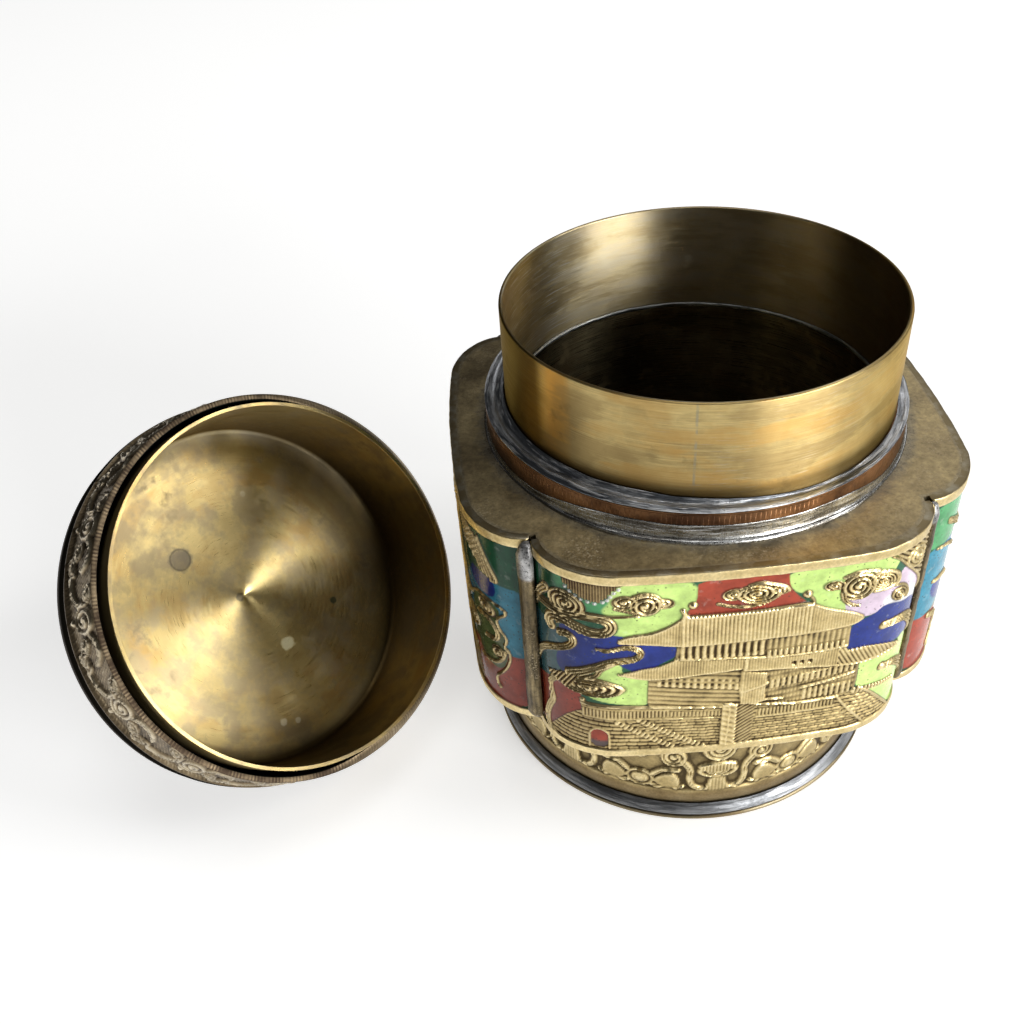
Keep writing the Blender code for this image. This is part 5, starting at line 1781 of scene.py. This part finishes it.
@dataclass
class Neck:
    """The collar, neck and liner, in millimetres."""

    radius: float = 42.0
    wall: float = 0.85
    collar_low: float = 85.4
    collar_top: float = 91.7
    collar: float = 45.7
    rim: float = 114.5
    liner_low: float = 33.6
    liner_top: float = 89.0
    flutes: int = 288
    off: float = 1.2
    lean: float = math.radians(-44)

    def turned(
        self, name: str, profile: Line, material: Material, slot: str, *nodes: str, rounding: float = 0.2,
        closed: bool = True, sides: int = 256, shift: Shift | None = None,
    ) -> Object:
        """Build and dress one turned piece from a profile in millimetres."""
        piece = Turned(name, rounded(profile, rounding, closed), sides, closed).build(shift)
        return dress(piece, material, slot, *nodes)

    def flute_tree(self) -> NodeTree:
        """Return a node tree that stands upright flutes round a ring.

        Returns:
            The tree, with named inputs.
        """
        tree = bpy.data.node_groups.new("upright_flutes", "GeometryNodeTree")
        floats = dict.fromkeys(("Ring Radius", "Flute Radius", "Flute Height", "Middle"), "Float")
        for name, kind in {"Count": "Int", **floats, "Material": "Material"}.items():
            tree.interface.new_socket(name=name, in_out="INPUT", socket_type="NodeSocket" + kind)
        tree.interface.new_socket(name="Geometry", in_out="OUTPUT", socket_type="NodeSocketGeometry")
        kinds = {
            "source": "NodeGroupInput", "sink": "NodeGroupOutput", "circle": "GeometryNodeMeshCircle",
            "lift": "GeometryNodeTransform", "upward": "ShaderNodeCombineXYZ", "flute": "GeometryNodeMeshCylinder",
            "copies": "GeometryNodeInstanceOnPoints", "smooth": "GeometryNodeSetShadeSmooth",
            "real": "GeometryNodeRealizeInstances", "cover": "GeometryNodeSetMaterial",
        }
        node = {key: tree.nodes.new(kind) for key, kind in kinds.items()}
        node["flute"].inputs["Vertices"].default_value = 8
        for start, output, end, entry in (
            ("source", "Count", "circle", "Vertices"), ("source", "Ring Radius", "circle", "Radius"),
            ("source", "Middle", "upward", "Z"), ("circle", "Mesh", "lift", "Geometry"),
            ("upward", "Vector", "lift", "Translation"), ("source", "Flute Radius", "flute", "Radius"),
            ("source", "Flute Height", "flute", "Depth"), ("lift", "Geometry", "copies", "Points"),
            ("flute", "Mesh", "copies", "Instance"), ("copies", "Instances", "real", "Geometry"),
            ("real", "Geometry", "smooth", "Geometry"), ("smooth", "Geometry", "cover", "Geometry"),
            ("source", "Material", "cover", "Material"), ("cover", "Geometry", "sink", "Geometry"),
        ):
            tree.links.new(node[start].outputs[output], node[end].inputs[entry])
        return tree

    def fluting(self, material: Material) -> None:
        """Build the collar's flutes with the node tree.

        Args:
            material: Their finish.
        """
        tree = self.flute_tree()
        holder = show("flute_maker", bpy.data.meshes.new("flute_maker"))
        maker = holder.modifiers.new("Flutes", "NODES")
        maker.node_group = tree
        values = {
            "Count": self.flutes,
            "Ring Radius": (self.collar - 0.36) * MM,
            "Flute Radius": 0.36 * MM,
            "Flute Height": (self.collar_top - self.collar_low - 0.7) * MM,
            "Middle": (self.collar_top + self.collar_low) / 2 * MM,
            "Material": material,
        }
        for socket in tree.interface.items_tree:
            if socket.item_type == "SOCKET" and socket.in_out == "INPUT":
                maker[socket.identifier] = values[socket.name]
        bpy.context.view_layer.update()
        mesh = bpy.data.meshes.new_from_object(holder.evaluated_get(bpy.context.evaluated_depsgraph_get()))
        bpy.data.objects.remove(holder, do_unlink=True)
        dress(show("collar_flutes", mesh), material, "collar_copper")

    def build(self) -> None:
        """Build every piece of the neck."""
        r, w = self.radius, self.wall
        dent = ripple(11, 6, 0.06)

        def hand(angle: Array, radius: Array, height: Array) -> tuple[Array, Array]:
            """Make the tube a little uneven, and set it off the collar's middle as the real one is."""
            return radius + MM * (dent(angle) + self.off * np.cos(angle - self.lean)) * (radius > 0.02), height

        outside = BrushedBrass("neck_brass", scratched=0.25, seam=math.radians(-101.3), dented=0.00008)
        sheet = [(r - w, self.rim), (r, self.rim)]
        sheet += [(r, z) for z in (106, 101, 99, 97.5, 96, 95, 94, 93, 92, 89.3)] + [(r - w, 89.3)]
        tube = self.turned(
            "neck_sheet", sheet, outside.material(), "neck_brass", "neck_tube", shift=hand, rounding=0.3
        )

        def inside(co: Array) -> Array:
            """Return 1 on the tube's inner face and 0 on its outer.

            Args:
                co: Points of the tube.

            Returns:
                The share for each point.
            """
            turn = np.arctan2(co[:, 1], co[:, 0])
            depth = r + self.off * np.cos(turn - self.lean) - np.hypot(co[:, 0], co[:, 1]) / MM
            return np.clip((depth - 0.3) / 0.3, 0, 1)

        def stained(co: Array) -> Array:
            """Return how dark the tube is: outside darker towards its foot, painted shade at the left for the dark
            surroundings it reflects, and painted shade inside at the right.

            Args:
                co: Points of the tube.

            Returns:
                The tarnish of each point.
            """
            turn = np.degrees(np.arctan2(co[:, 1], co[:, 0])) % 360
            foot = 0.97 * smooth_step((97.5 - co[:, 2] / MM) / 3.4) * (0.8 + 0.2 * smooth_step((300 - turn) / 70))
            # Painted shade: the left of the outer face, which reflects dark surroundings.
            left = 0.92 * smooth_step((218 - turn) / 8) * smooth_step((turn - 90) / 60)
            # Painted shade: the inner face at the right, which lies in shade.
            deep = 0.8 * smooth_step((np.cos(np.radians(turn)) - 0.62) / 0.35)
            return np.where(inside(co) > 0.5, deep, np.maximum(foot, left))

        def orange_reflection_streak(co: Array) -> Array:
            """Return the painted reflection on the outer face: an orange upright streak at the left."""
            turn = np.degrees(np.arctan2(co[:, 1], co[:, 0])) % 360
            return smooth_step((turn - 213) / 5) * smooth_step((224.5 - turn) / 1.5) * (1 - inside(co))

        def rubbed(co: Array) -> Array:
            """Return 1 where the inner face is rubbed bright."""
            turn = np.arctan2(co[:, 1], co[:, 0])
            return 0.85 * inside(co) * smooth_step((-np.cos(turn + 0.2) - 0.55) / 0.3)

        mark(tube, "haze", inside)
        mark(tube, "rubbed", rubbed)
        mark(tube, "shade_and_tarnish", stained)
        mark(tube, "painted_orange_reflection", orange_reflection_streak)
        # The liner's colours are far darker than the neck's brass: painted shade for the deep inside of the can.
        liner = BrushedBrass(
            "liner_brass", (0.20, 0.165, 0.09), (0.060, 0.048, 0.026), (0.11, 0.075, 0.035), roughness=0.30, stained=0.8
        )
        low, top = self.liner_low, self.liner_top
        can = [(0, low + w), (r - w, low + w), (r - w, top), (r, top), (r, low), (0, low)]
        self.turned(
            "liner_can", can, liner.material(), "liner_brass", "inner_liner", closed=False, rounding=0.3, shift=hand
        )
        copper = OldCopper("collar_copper").material()
        inner = r + 0.3
        body = self.collar - 0.022
        collar = [(inner, self.collar_top), (body, self.collar_top), (body, self.collar_low), (inner, self.collar_low)]
        self.turned("collar_band", collar, copper, "collar_copper", "copper_collar", rounding=0.15)
        for name, low in (("collar_edge_top", self.collar_top - 0.55), ("collar_edge_low", self.collar_low)):
            bead = [(body - 0.2, low + 0.55), (self.collar, low + 0.55), (self.collar, low), (body - 0.2, low)]
            self.turned(name, bead, copper, "collar_copper", rounding=0.18)
        self.fluting(copper)
        wobble, lump = ripple(21, 36, 0.22), ripple(22, 80, 0.16)

        def smear(
            low: float, tall: float, size: float, least: float = 1.0, full: float = math.pi,
            spread: tuple[float, float] = (-0.55, 0.55), hold: float = 0.0, off: float = 0.0,
        ) -> Shift:
            """Return a shift that makes a solder ring lumpy above its base, and smaller away from one side.

            Args:
                low: Height of the ring's base.
                tall: Its height.
                size: Size of its lumps.
                least: Its smallest share of the full size.
                full: Angle at which it is full.
                spread: Range of the cosine over which it grows.
                hold: Radius that stays, or 0.
                off: Shift of its inner edge with the neck.

            Returns:
                The shift.
            """

            def move(angle: Array, radius: Array, height: Array) -> tuple[Array, Array]:
                """Move the ring's face.

                Args:
                    angle: Angles round the ring.
                    radius: Radii in metres.
                    height: Heights in metres.

                Returns:
                    The moved radii and heights.
                """
                share = np.clip((height / MM - low) / tall, 0, 1)
                side = least + (1 - least) * smooth_step((np.cos(angle - full) - spread[0]) / (spread[1] - spread[0]))
                lifted = MM * low + (height - MM * low) * side
                if hold:
                    radius = MM * hold + (radius - MM * hold) * side * (1 + 0.35 * wobble(angle))
                inward = np.clip((MM * self.collar - radius) / (MM * 3.4), 0, 1)
                radius = radius + MM * off * np.cos(angle - self.lean) * inward
                lifted = lifted + MM * size * (wobble(angle) + 0.6 * lump(angle)) * share * side
                return radius + MM * size * lump(angle) * np.sin(share * math.pi), lifted

            return move

        top = self.collar_top + 0.15
        crest = [(inner, top + 2.0), (inner + 0.4, top + 1.7), (inner + 0.9, top + 0.95), (inner + 1.5, top + 0.75),
            (inner + 2.1, top + 0.95), (inner + 2.7, top + 0.9), (self.collar + 0.02, top + 0.25), (self.collar, top),
            (inner, top)]
        tin = Solder("neck_tin").material()
        run = self.turned("neck_solder_run", crest, tin, "neck_solder", "neck_solder", rounding=0.3, sides=384,
            shift=smear(top, 2.0, 0.6, 0.2, math.radians(205), (-0.1, 0.8), off=self.off))
        # The solder is darker towards the neck.
        mark(run, "grime", lambda co: 0.9 * smooth_step((self.collar - 1.7 - np.hypot(co[:, 0], co[:, 1]) / MM) / 1.2))
        out, low = self.collar + 0.03, self.collar_low - 0.28
        foot = [(out, low + 3.9), (out + 0.12, low + 3.7), (out + 0.28, low + 2.4), (out + 0.42, low + 1.2),
            (out + 0.65, low + 0.7), (out + 0.95, low + 0.8), (out + 1.25, low + 0.6), (out + 1.4, low + 0.25),
            (out + 1.4, low), (out, low)]
        bright = Solder("collar_tin", (0.15, 0.14, 0.125), (0.60, 0.60, 0.58), 0.24, 0.6, 0.3).material()
        self.turned("collar_solder_run", foot, bright, "collar_solder", "collar_solder", rounding=0.25, sides=384,
            shift=smear(low, 3.9, 0.35, 0.42, math.radians(-94), (0.6, 0.9), out))
        joint = self.liner_top + 0.15
        bead = [(r - w - 0.3, joint + 0.6), (r - w - 0.3, joint - 0.6), (r - w - 0.75, joint - 0.25),
            (r - w - 0.75, joint + 0.25)]
        tin = Solder("liner_tin", (0.10, 0.105, 0.10), (0.36, 0.37, 0.36), 0.4, 0.2).material()
        shift = smear(joint - 0.6, 1.2, 0.3, off=self.off)
        self.turned("liner_solder_run", bead, tin, "liner_solder", "liner_solder", sides=256, shift=shift)


@dataclass
class Lid:
    """The lid in its own frame, mouth up along +Z with the rim at height 0, in millimetres."""

    cup: float = 42.5
    cup_wall: float = 0.82
    cup_depth: float = 25.6
    dish: float = 3.0
    setback: float = 2.7
    groove: float = 1.9
    shell_wall: float = 1.2
    bulge: float = 1.5
    widest: float = 20.6
    dome: float = 36.02
    square: float = 2.5
    band: float = 14.2
    relief: float = 1.0
    finial: float = 47.7
    bulb: float = 12.0
    columns: int = 720
    band_radius: float = 47.6
    mouth_row: int = 18
    spots: tuple[tuple[Colour, float, Colour], ...] = (
        ((-124.0, 5.2, 50.7), 3.1, (0.16, 0.14, 0.115)),
        ((-102.4, 0.3, 23.4), 1.9, (0.54, 0.52, 0.35)),
        ((-91.1, 13.4, 24.7), 1.0, (0.04, 0.10, 0.075)),
        ((-110.0, 24.4, 54.7), 0.8, (0.62, 0.58, 0.44)),
        ((-104.2, -16.2, 11.9), 1.0, (0.82, 0.74, 0.50)),
        ((-101.0, -14.6, 10.3), 0.8, (0.82, 0.74, 0.50)),
        ((-112.4, 5.2, 36.6), 1.2, (0.12, 0.11, 0.09)),
        ((-108.6, 23.2, 51.8), 5.2, (0.34, 0.27, 0.14)),
    )

    def shade_and_tarnish(self, piece: Object, place: Matrix) -> None:
        """Mark the cup's walls and the right of its floor with painted shade and some tarnish, but not its rim.

        Args:
            piece: The cup.
            place: The lid's frame.
        """
        back = place.inverted()
        middle = place.translation.x / MM

        def pale(co: Array) -> Array:
            """Return how pale these points are: a line of solder where floor and wall meet, at the back.

            Args:
                co: Points of the cup.

            Returns:
                The share for each point.
            """
            local = moved(co, back) / MM
            near = (np.hypot(local[:, 0], local[:, 1]) > self.cup - 1.2) & (np.abs(local[:, 2] + self.cup_depth) < 0.7)
            return near * smooth_step((np.cos(np.arctan2(local[:, 1], local[:, 0]) - 2.6) - 0.3) / 0.5)

        def dark(co: Array) -> Array:
            """Return how much painted shade, with some tarnish, these points get.

            Args:
                co: Points of the cup.

            Returns:
                The share for each point.
            """
            local = moved(co, back) / MM
            reach = np.hypot(local[:, 0], local[:, 1])
            # Painted shade on the walls.
            wall = smooth_step((reach - self.cup + 4.5) / 3.5) * smooth_step((-local[:, 2] - 0.3) / 0.3)
            # Painted dark reflection on the right of the floor, where it mirrors the caddy's body.
            right = smooth_step((co[:, 0] / MM - middle + 0.6 * (co[:, 2] / MM - 26) - 4) / 10)
            wall *= 1 - 0.8 * pale(co)
            wall *= 0.92 + 0.06 * np.clip(-local[:, 2] / self.cup_depth, 0, 1)
            return np.maximum(wall, 0.8 * right * (local[:, 2] < -self.cup_depth / 2))

        mark(piece, "shade_and_tarnish", dark)
        mark(piece, "haze", pale)

    def frame(self) -> Matrix:
        """Return the lid's frame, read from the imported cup: its rim's middle and its axis.

        Returns:
            The frame, in metres.
        """
        data = frame["nodes"]["lid_cup"].data
        flat = np.zeros(len(data.vertices) * 3)
        data.vertices.foreach_get("co", flat)
        points = flat.reshape(-1, 3)
        middle = points.mean(0)
        axis = np.linalg.svd(points - middle, full_matrices=False)[2][2]
        axis *= np.sign(axis[2])
        reach = points @ axis
        centre = points[reach > reach.max() - 1e-5].mean(0)
        up = Vector(axis)
        side = Vector((0, 0, -1)) + up * up.z
        side.normalize()
        other = up.cross(side)
        matrix = Matrix((side, other, up)).transposed().to_4x4()
        matrix.translation = Vector(centre)
        return matrix

    def outer(self, depth: float) -> float:
        """Return the shell's outer radius at a depth below the rim.

        Args:
            depth: Depth in millimetres.

        Returns:
            The radius.
        """
        mouth = self.cup + self.cup_wall + self.groove + self.shell_wall - 0.42
        if depth <= self.widest:
            share = (depth - self.setback) / (self.widest - self.setback)
            return mouth + self.bulge * math.sin(share * math.pi / 2)
        share = min(1.0, (depth - self.widest) / (self.dome - self.widest))
        return (mouth + self.bulge) * (1 - share**self.square) ** (1 / self.square)

    def shell_profile(self) -> Line:
        """Return the shell's profile, from the middle of its hollow over its mouth to its top.

        Returns:
            Corners as radius and height.
        """
        mouth = self.cup + self.cup_wall + self.groove
        inner = [(0.001, -(self.dome - self.shell_wall))]
        for depth in np.linspace(self.dome - self.shell_wall - 0.3, self.setback + 1.0, 14):
            inner.append((max(0.5, self.outer(depth + (0.9 if depth > self.widest else 0)) - self.shell_wall), -depth))
        inner += [(mouth - 0.6, -self.setback - 0.5), (mouth - 0.4, -self.setback - 0.08),
            (mouth + self.shell_wall - 0.67, -self.setback)]
        depths = [self.setback + 0.12] + list(np.linspace(self.setback + 0.35, self.setback + self.band + 0.6, 34))
        depths += list(np.linspace(self.setback + self.band + 1.2, self.widest, 6))
        share = np.sin(np.linspace(0.12, 1, 22) * math.pi / 2)
        depths += list(self.widest + (self.dome - self.widest) * share)
        outer = [(max(self.outer(d), 0.001), -d) for d in depths]
        return inner + outer

    def draw(self, field: Relief) -> None:
        """Draw leaves and scrolls round the band on a hatched ground; u runs round and z down it.

        Args:
            field: The relief to draw on.
        """
        motifs = 14
        step = 2 * math.pi * self.band_radius / motifs
        ground = 0.16 * wave((field.u + field.z) / 1.05) * wave((field.u - field.z) / 1.05)
        field.height = np.maximum(field.height, ground)
        for k in range(-1, motifs + 1):
            s = (k + 0.5) * step
            field.swirl((s, 4.4), (3.3, 2.9), 2.3, 0.3, 0.55, 1)
            field.stroke([(s - 9.6, 8.2), (s - 6.2, 8), (s - 3.6, 6.4), (s - 3.3, 4.2)], 1.5, 2, 0.5, (1, 0.8))
            field.stroke([(s + 3, 3.6), (s + 5.4, 2), (s + 8.4, 2.4), (s + 10.2, 4.4)], 1.4, 2, 0.48, (1, 0.7))
            for x, z, lean in ((5.8, 6.6, 0.6), (9.2, 8.2, -0.4), (-5.6, 2.8, 0.5)):
                field.swirl((s + x, z), (2.3, 1.25), 2, lean, 0.5, 0)
            field.ball((s, 9), 0.8, 0.45)

    def build_shell(self, place: Matrix) -> None:
        """Build the shell with its relief band.

        Args:
            place: The lid's frame.
        """
        width = 2 * math.pi * self.band_radius
        s = np.linspace(0, width, self.columns, endpoint=False)
        profile = np.array(self.shell_profile())
        is_outer = np.arange(len(profile)) >= self.mouth_row
        depth = -profile[:, 1]
        z = np.linspace(0, self.band, 60)
        field = Relief(s, z * 10.1 / self.band, (0.2, 0.15, 0.1))
        self.draw(field)
        field.height *= 1.8
        wear = field.wear((0.6, 1.8)) * 0.7
        local = np.clip(depth - self.setback, 0, self.band)
        count = len(profile)
        height = np.zeros((self.columns, count))
        worn = np.zeros((self.columns, count))
        for j in range(count):
            if is_outer[j] and self.setback + 0.3 < depth[j] < self.setback + self.band:
                k = np.interp(local[j], z, np.arange(len(z)))
                a, t = int(k), k - int(k)
                b = min(a + 1, len(z) - 1)
                height[:, j] = field.height[:, a] * (1 - t) + field.height[:, b] * t - self.relief
                worn[:, j] = wear[:, a] * (1 - t) + wear[:, b] * t
        ease = smooth_step((self.setback + self.band + 0.2 - depth) / 0.8)
        ease *= smooth_step((depth - self.setback - 0.2) / 0.6)
        height *= ease[None, :]
        bare = np.where(is_outer & (depth > self.setback + self.band), -0.35, -0.5)
        worn = worn * ease[None, :] + (1 - ease[None, :]) * bare[None, :]
        angle = s / self.band_radius
        tight = smooth_step((np.cos(angle - math.radians(62)) + 0.02) / 0.45)
        lip = self.mouth_row - 3
        worn[:, lip:lip + 4] = (0.55 * tight - 0.85 + 0.4 * wave(s / 0.9))[:, None]
        radius = np.maximum(profile[None, :, 0] + height, 0.0005)
        level = np.tile(profile[:, 1], (self.columns, 1))
        for j, (out, down) in enumerate(((0.15, 1.7), (0.22, 1.1), (1.1, 1.25)), lip):
            radius[:, j] += tight * (self.cup + self.cup_wall + out - radius[:, j])
            level[:, j] -= tight * (level[:, j] + down)
        points = moved(polar(radius, angle[:, None], level).reshape(-1, 3) * MM, place)
        piece = make_mesh("lid_shell_relief", points, net(self.columns, count, True, False), None, 50.0)
        tone = np.where(is_outer & (depth < self.setback + self.band + 0.6), 0.25, 0.95)
        tone[lip] = 1.35
        tone[lip + 1:lip + 3] = 0.25
        tone[is_outer & (depth > self.widest + 1.0)] = 0.78
        layers = {"wear": worn, "tone": np.broadcast_to(tone, worn.shape), "metal": np.full_like(worn, 2.0)}
        for name, values in layers.items():
            write(piece, name, values)
        weld(piece)
        dark = CastBrass(
            "lid_cast", (0.78, 0.68, 0.49), (0.29, 0.225, 0.135), (0.030, 0.024, 0.016), 0.30, blackened=True
        )
        dress(piece, dark.material(), "lid_shell_brass", "lid_shell")

    def build(self) -> None:
        """Build every piece of the lid."""
        place = self.frame()
        r, w = self.cup, self.cup_wall
        deepest = -(self.cup_depth + self.dish)
        floor = [(0.001, deepest - 0.35), (0.7, deepest - 0.15), (1.5, deepest + 0.15)]
        for t in np.linspace(0.08, 1, 12):
            floor.append(((r - 1.0) * t, -(self.cup_depth + 0.2 + (self.dish - 0.2) * (1 - t))))
        cup = floor + [(r - 0.35, -self.cup_depth + 0.25), (r, -self.cup_depth + 1.0), (r, -0.5), (r, -0.06),
            (r + 0.04, 0), (r + w - 0.04, 0), (r + w, -0.06), (r + w, -0.5), (r + w, -self.cup_depth + 1.0),
            (r - 0.6, -self.cup_depth - w), (0.001, deepest - w - 0.1)]
        piece = Turned("lid_cup_sheet", cup, 256, False, place).build()
        spots = tuple((tuple(v * MM for v in spot), radius * MM, tint) for spot, radius, tint in self.spots)
        brass = BrushedBrass(
            "cup_brass", (0.74, 0.585, 0.265), (0.50, 0.375, 0.155), (0.50, 0.33, 0.125), (0.19, 0.155, 0.095),
            0.33, 0.9, 0.80, grain=0.4, mottled=0.7, dented=0.00028, twist=0.290, spots=spots,
        )
        self.shade_and_tarnish(piece, place)
        dress(piece, brass.material(), "lid_cup_brass", "lid_cup")
        self.build_shell(place)
        foot = self.dome + 0.3
        bulb = foot + self.finial - 1.15 * self.bulb - 0.2
        profile = [(0.001, -foot), (8.6, -foot), (9.0, -foot - 0.4), (9.0, -foot - 1.6), (8.4, -foot - 2.2),
            (6.2, -foot - 3.4), (4.8, -foot - 5.0), (4.2, -foot - 7.0)]
        profile += [(4.2, -(foot + bulb - 0.9 * self.bulb) / 2 - 1), (4.6, -bulb + 0.93 * self.bulb)]
        for t in np.linspace(0.40, 2.85, 22):
            profile.append(((self.bulb - 0.15) * math.sin(t), -bulb + (self.bulb - 0.15) * math.cos(t)))
        profile += [(2.2, -foot - self.finial + 1.6), (1.4, -foot - self.finial + 0.4), (0.001, -foot - self.finial)]
        knob = Turned("lid_finial_turning", profile, 96, False, place).build()
        turned = BrushedBrass("finial_brass", (0.55, 0.43, 0.20), (0.30, 0.22, 0.10), roughness=0.33)
        dress(knob, turned.material(), "finial_brass", "lid_finial")


@dataclass
class Studio:
    """Floor, lights and camera."""

    eye: tuple[float, float, float] = (-0.04656, -0.19968, 0.22263)
    yaw: float = 0.0241
    pitch: float = 0.6835
    roll: float = -0.0813
    lens: float = 37.986

    def camera(self) -> None:
        """Set the camera at the photograph's place."""
        data = bpy.data.cameras.new("camera")
        data.lens, data.sensor_width, data.clip_start, data.clip_end = self.lens, 36.0, 0.01, 10.0
        camera = show("camera", data)
        level = math.cos(self.pitch)
        ahead = Vector((math.sin(self.yaw) * level, math.cos(self.yaw) * level, -math.sin(self.pitch)))
        right = Vector((math.cos(self.yaw), -math.sin(self.yaw), 0))
        up = right.cross(ahead)
        side = right * math.cos(self.roll) + up * math.sin(self.roll)
        top = -right * math.sin(self.roll) + up * math.cos(self.roll)
        matrix = Matrix((side, top, -ahead)).transposed().to_4x4()
        matrix.translation = Vector(self.eye)
        camera.matrix_world = matrix
        bpy.context.scene.camera = camera

    def light(self, name: str, place: Colour, aim: Colour, size: float, power: float, tall: float = 0.0) -> None:
        """Add a soft area light aimed at a point.

        Args:
            name: Name of the lamp.
            place: Where it stands.
            aim: Where it points.
            size: Its width.
            power: Its power in watts.
            tall: Its height, or 0 for a square.
        """
        data = bpy.data.lights.new(name, "AREA")
        data.energy = power
        data.size = size
        if tall:
            data.shape, data.size_y = "RECTANGLE", tall
        lamp = show(name, data)
        lamp.location = place
        lamp.rotation_euler = (Vector(aim) - Vector(place)).to_track_quat("-Z", "Y").to_euler()

    def towards(self, turn: float, lift: float, away: float) -> tuple[float, float, float]:
        """Return a place away from the origin, at degrees right of the front and above the floor."""
        a, b = math.radians(turn), math.radians(lift)
        return (away * math.sin(a) * math.cos(b), -away * math.cos(a) * math.cos(b), away * math.sin(b))

    def build(self) -> None:
        """Build the floor, lights, world and camera."""
        self.camera()
        size = 3.0
        below = -0.0002
        points = np.array([(-size, -size, below), (size, -size, below), (size, size, below), (-size, size, below)])
        floor = make_mesh("floor", points, np.array([[0, 1, 2, 3]]))
        floor.data.materials.append(Floor().material())
        world = bpy.data.worlds.new("studio")
        bpy.context.scene.world = world
        world.use_nodes = True
        sky = world.node_tree.nodes["Background"].inputs
        sky[0].default_value = (1.0, 0.99, 0.97, 1.0)
        sky[1].default_value = 0.05
        bpy.context.scene.view_settings.view_transform = "Standard"
        self.light("window", self.towards(40, 15, 4.0), (-0.03, 0, 0.06), 2.6, 170.0, 1.0)
        self.light("side", self.towards(76, 40, 3.5), (-0.03, 0, 0.06), 1.3, 45.0)
        self.light("ceiling", (0.0, 0.1, 3.0), (0, 0, 0), 1.4, 14.0)
        self.light("back", self.towards(148, 38, 3.5), (-0.03, 0, 0.06), 1.6, 10.0)


def main() -> None:
    """Build the caddy, the lid and the studio."""
    logging.basicConfig(level=logging.INFO, format="%(name)s %(message)s")
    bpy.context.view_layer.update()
    Studio().build()
    Foot().build()
    Body().build()
    Neck().build()
    Lid().build()


if __name__ == "__main__":
    main()
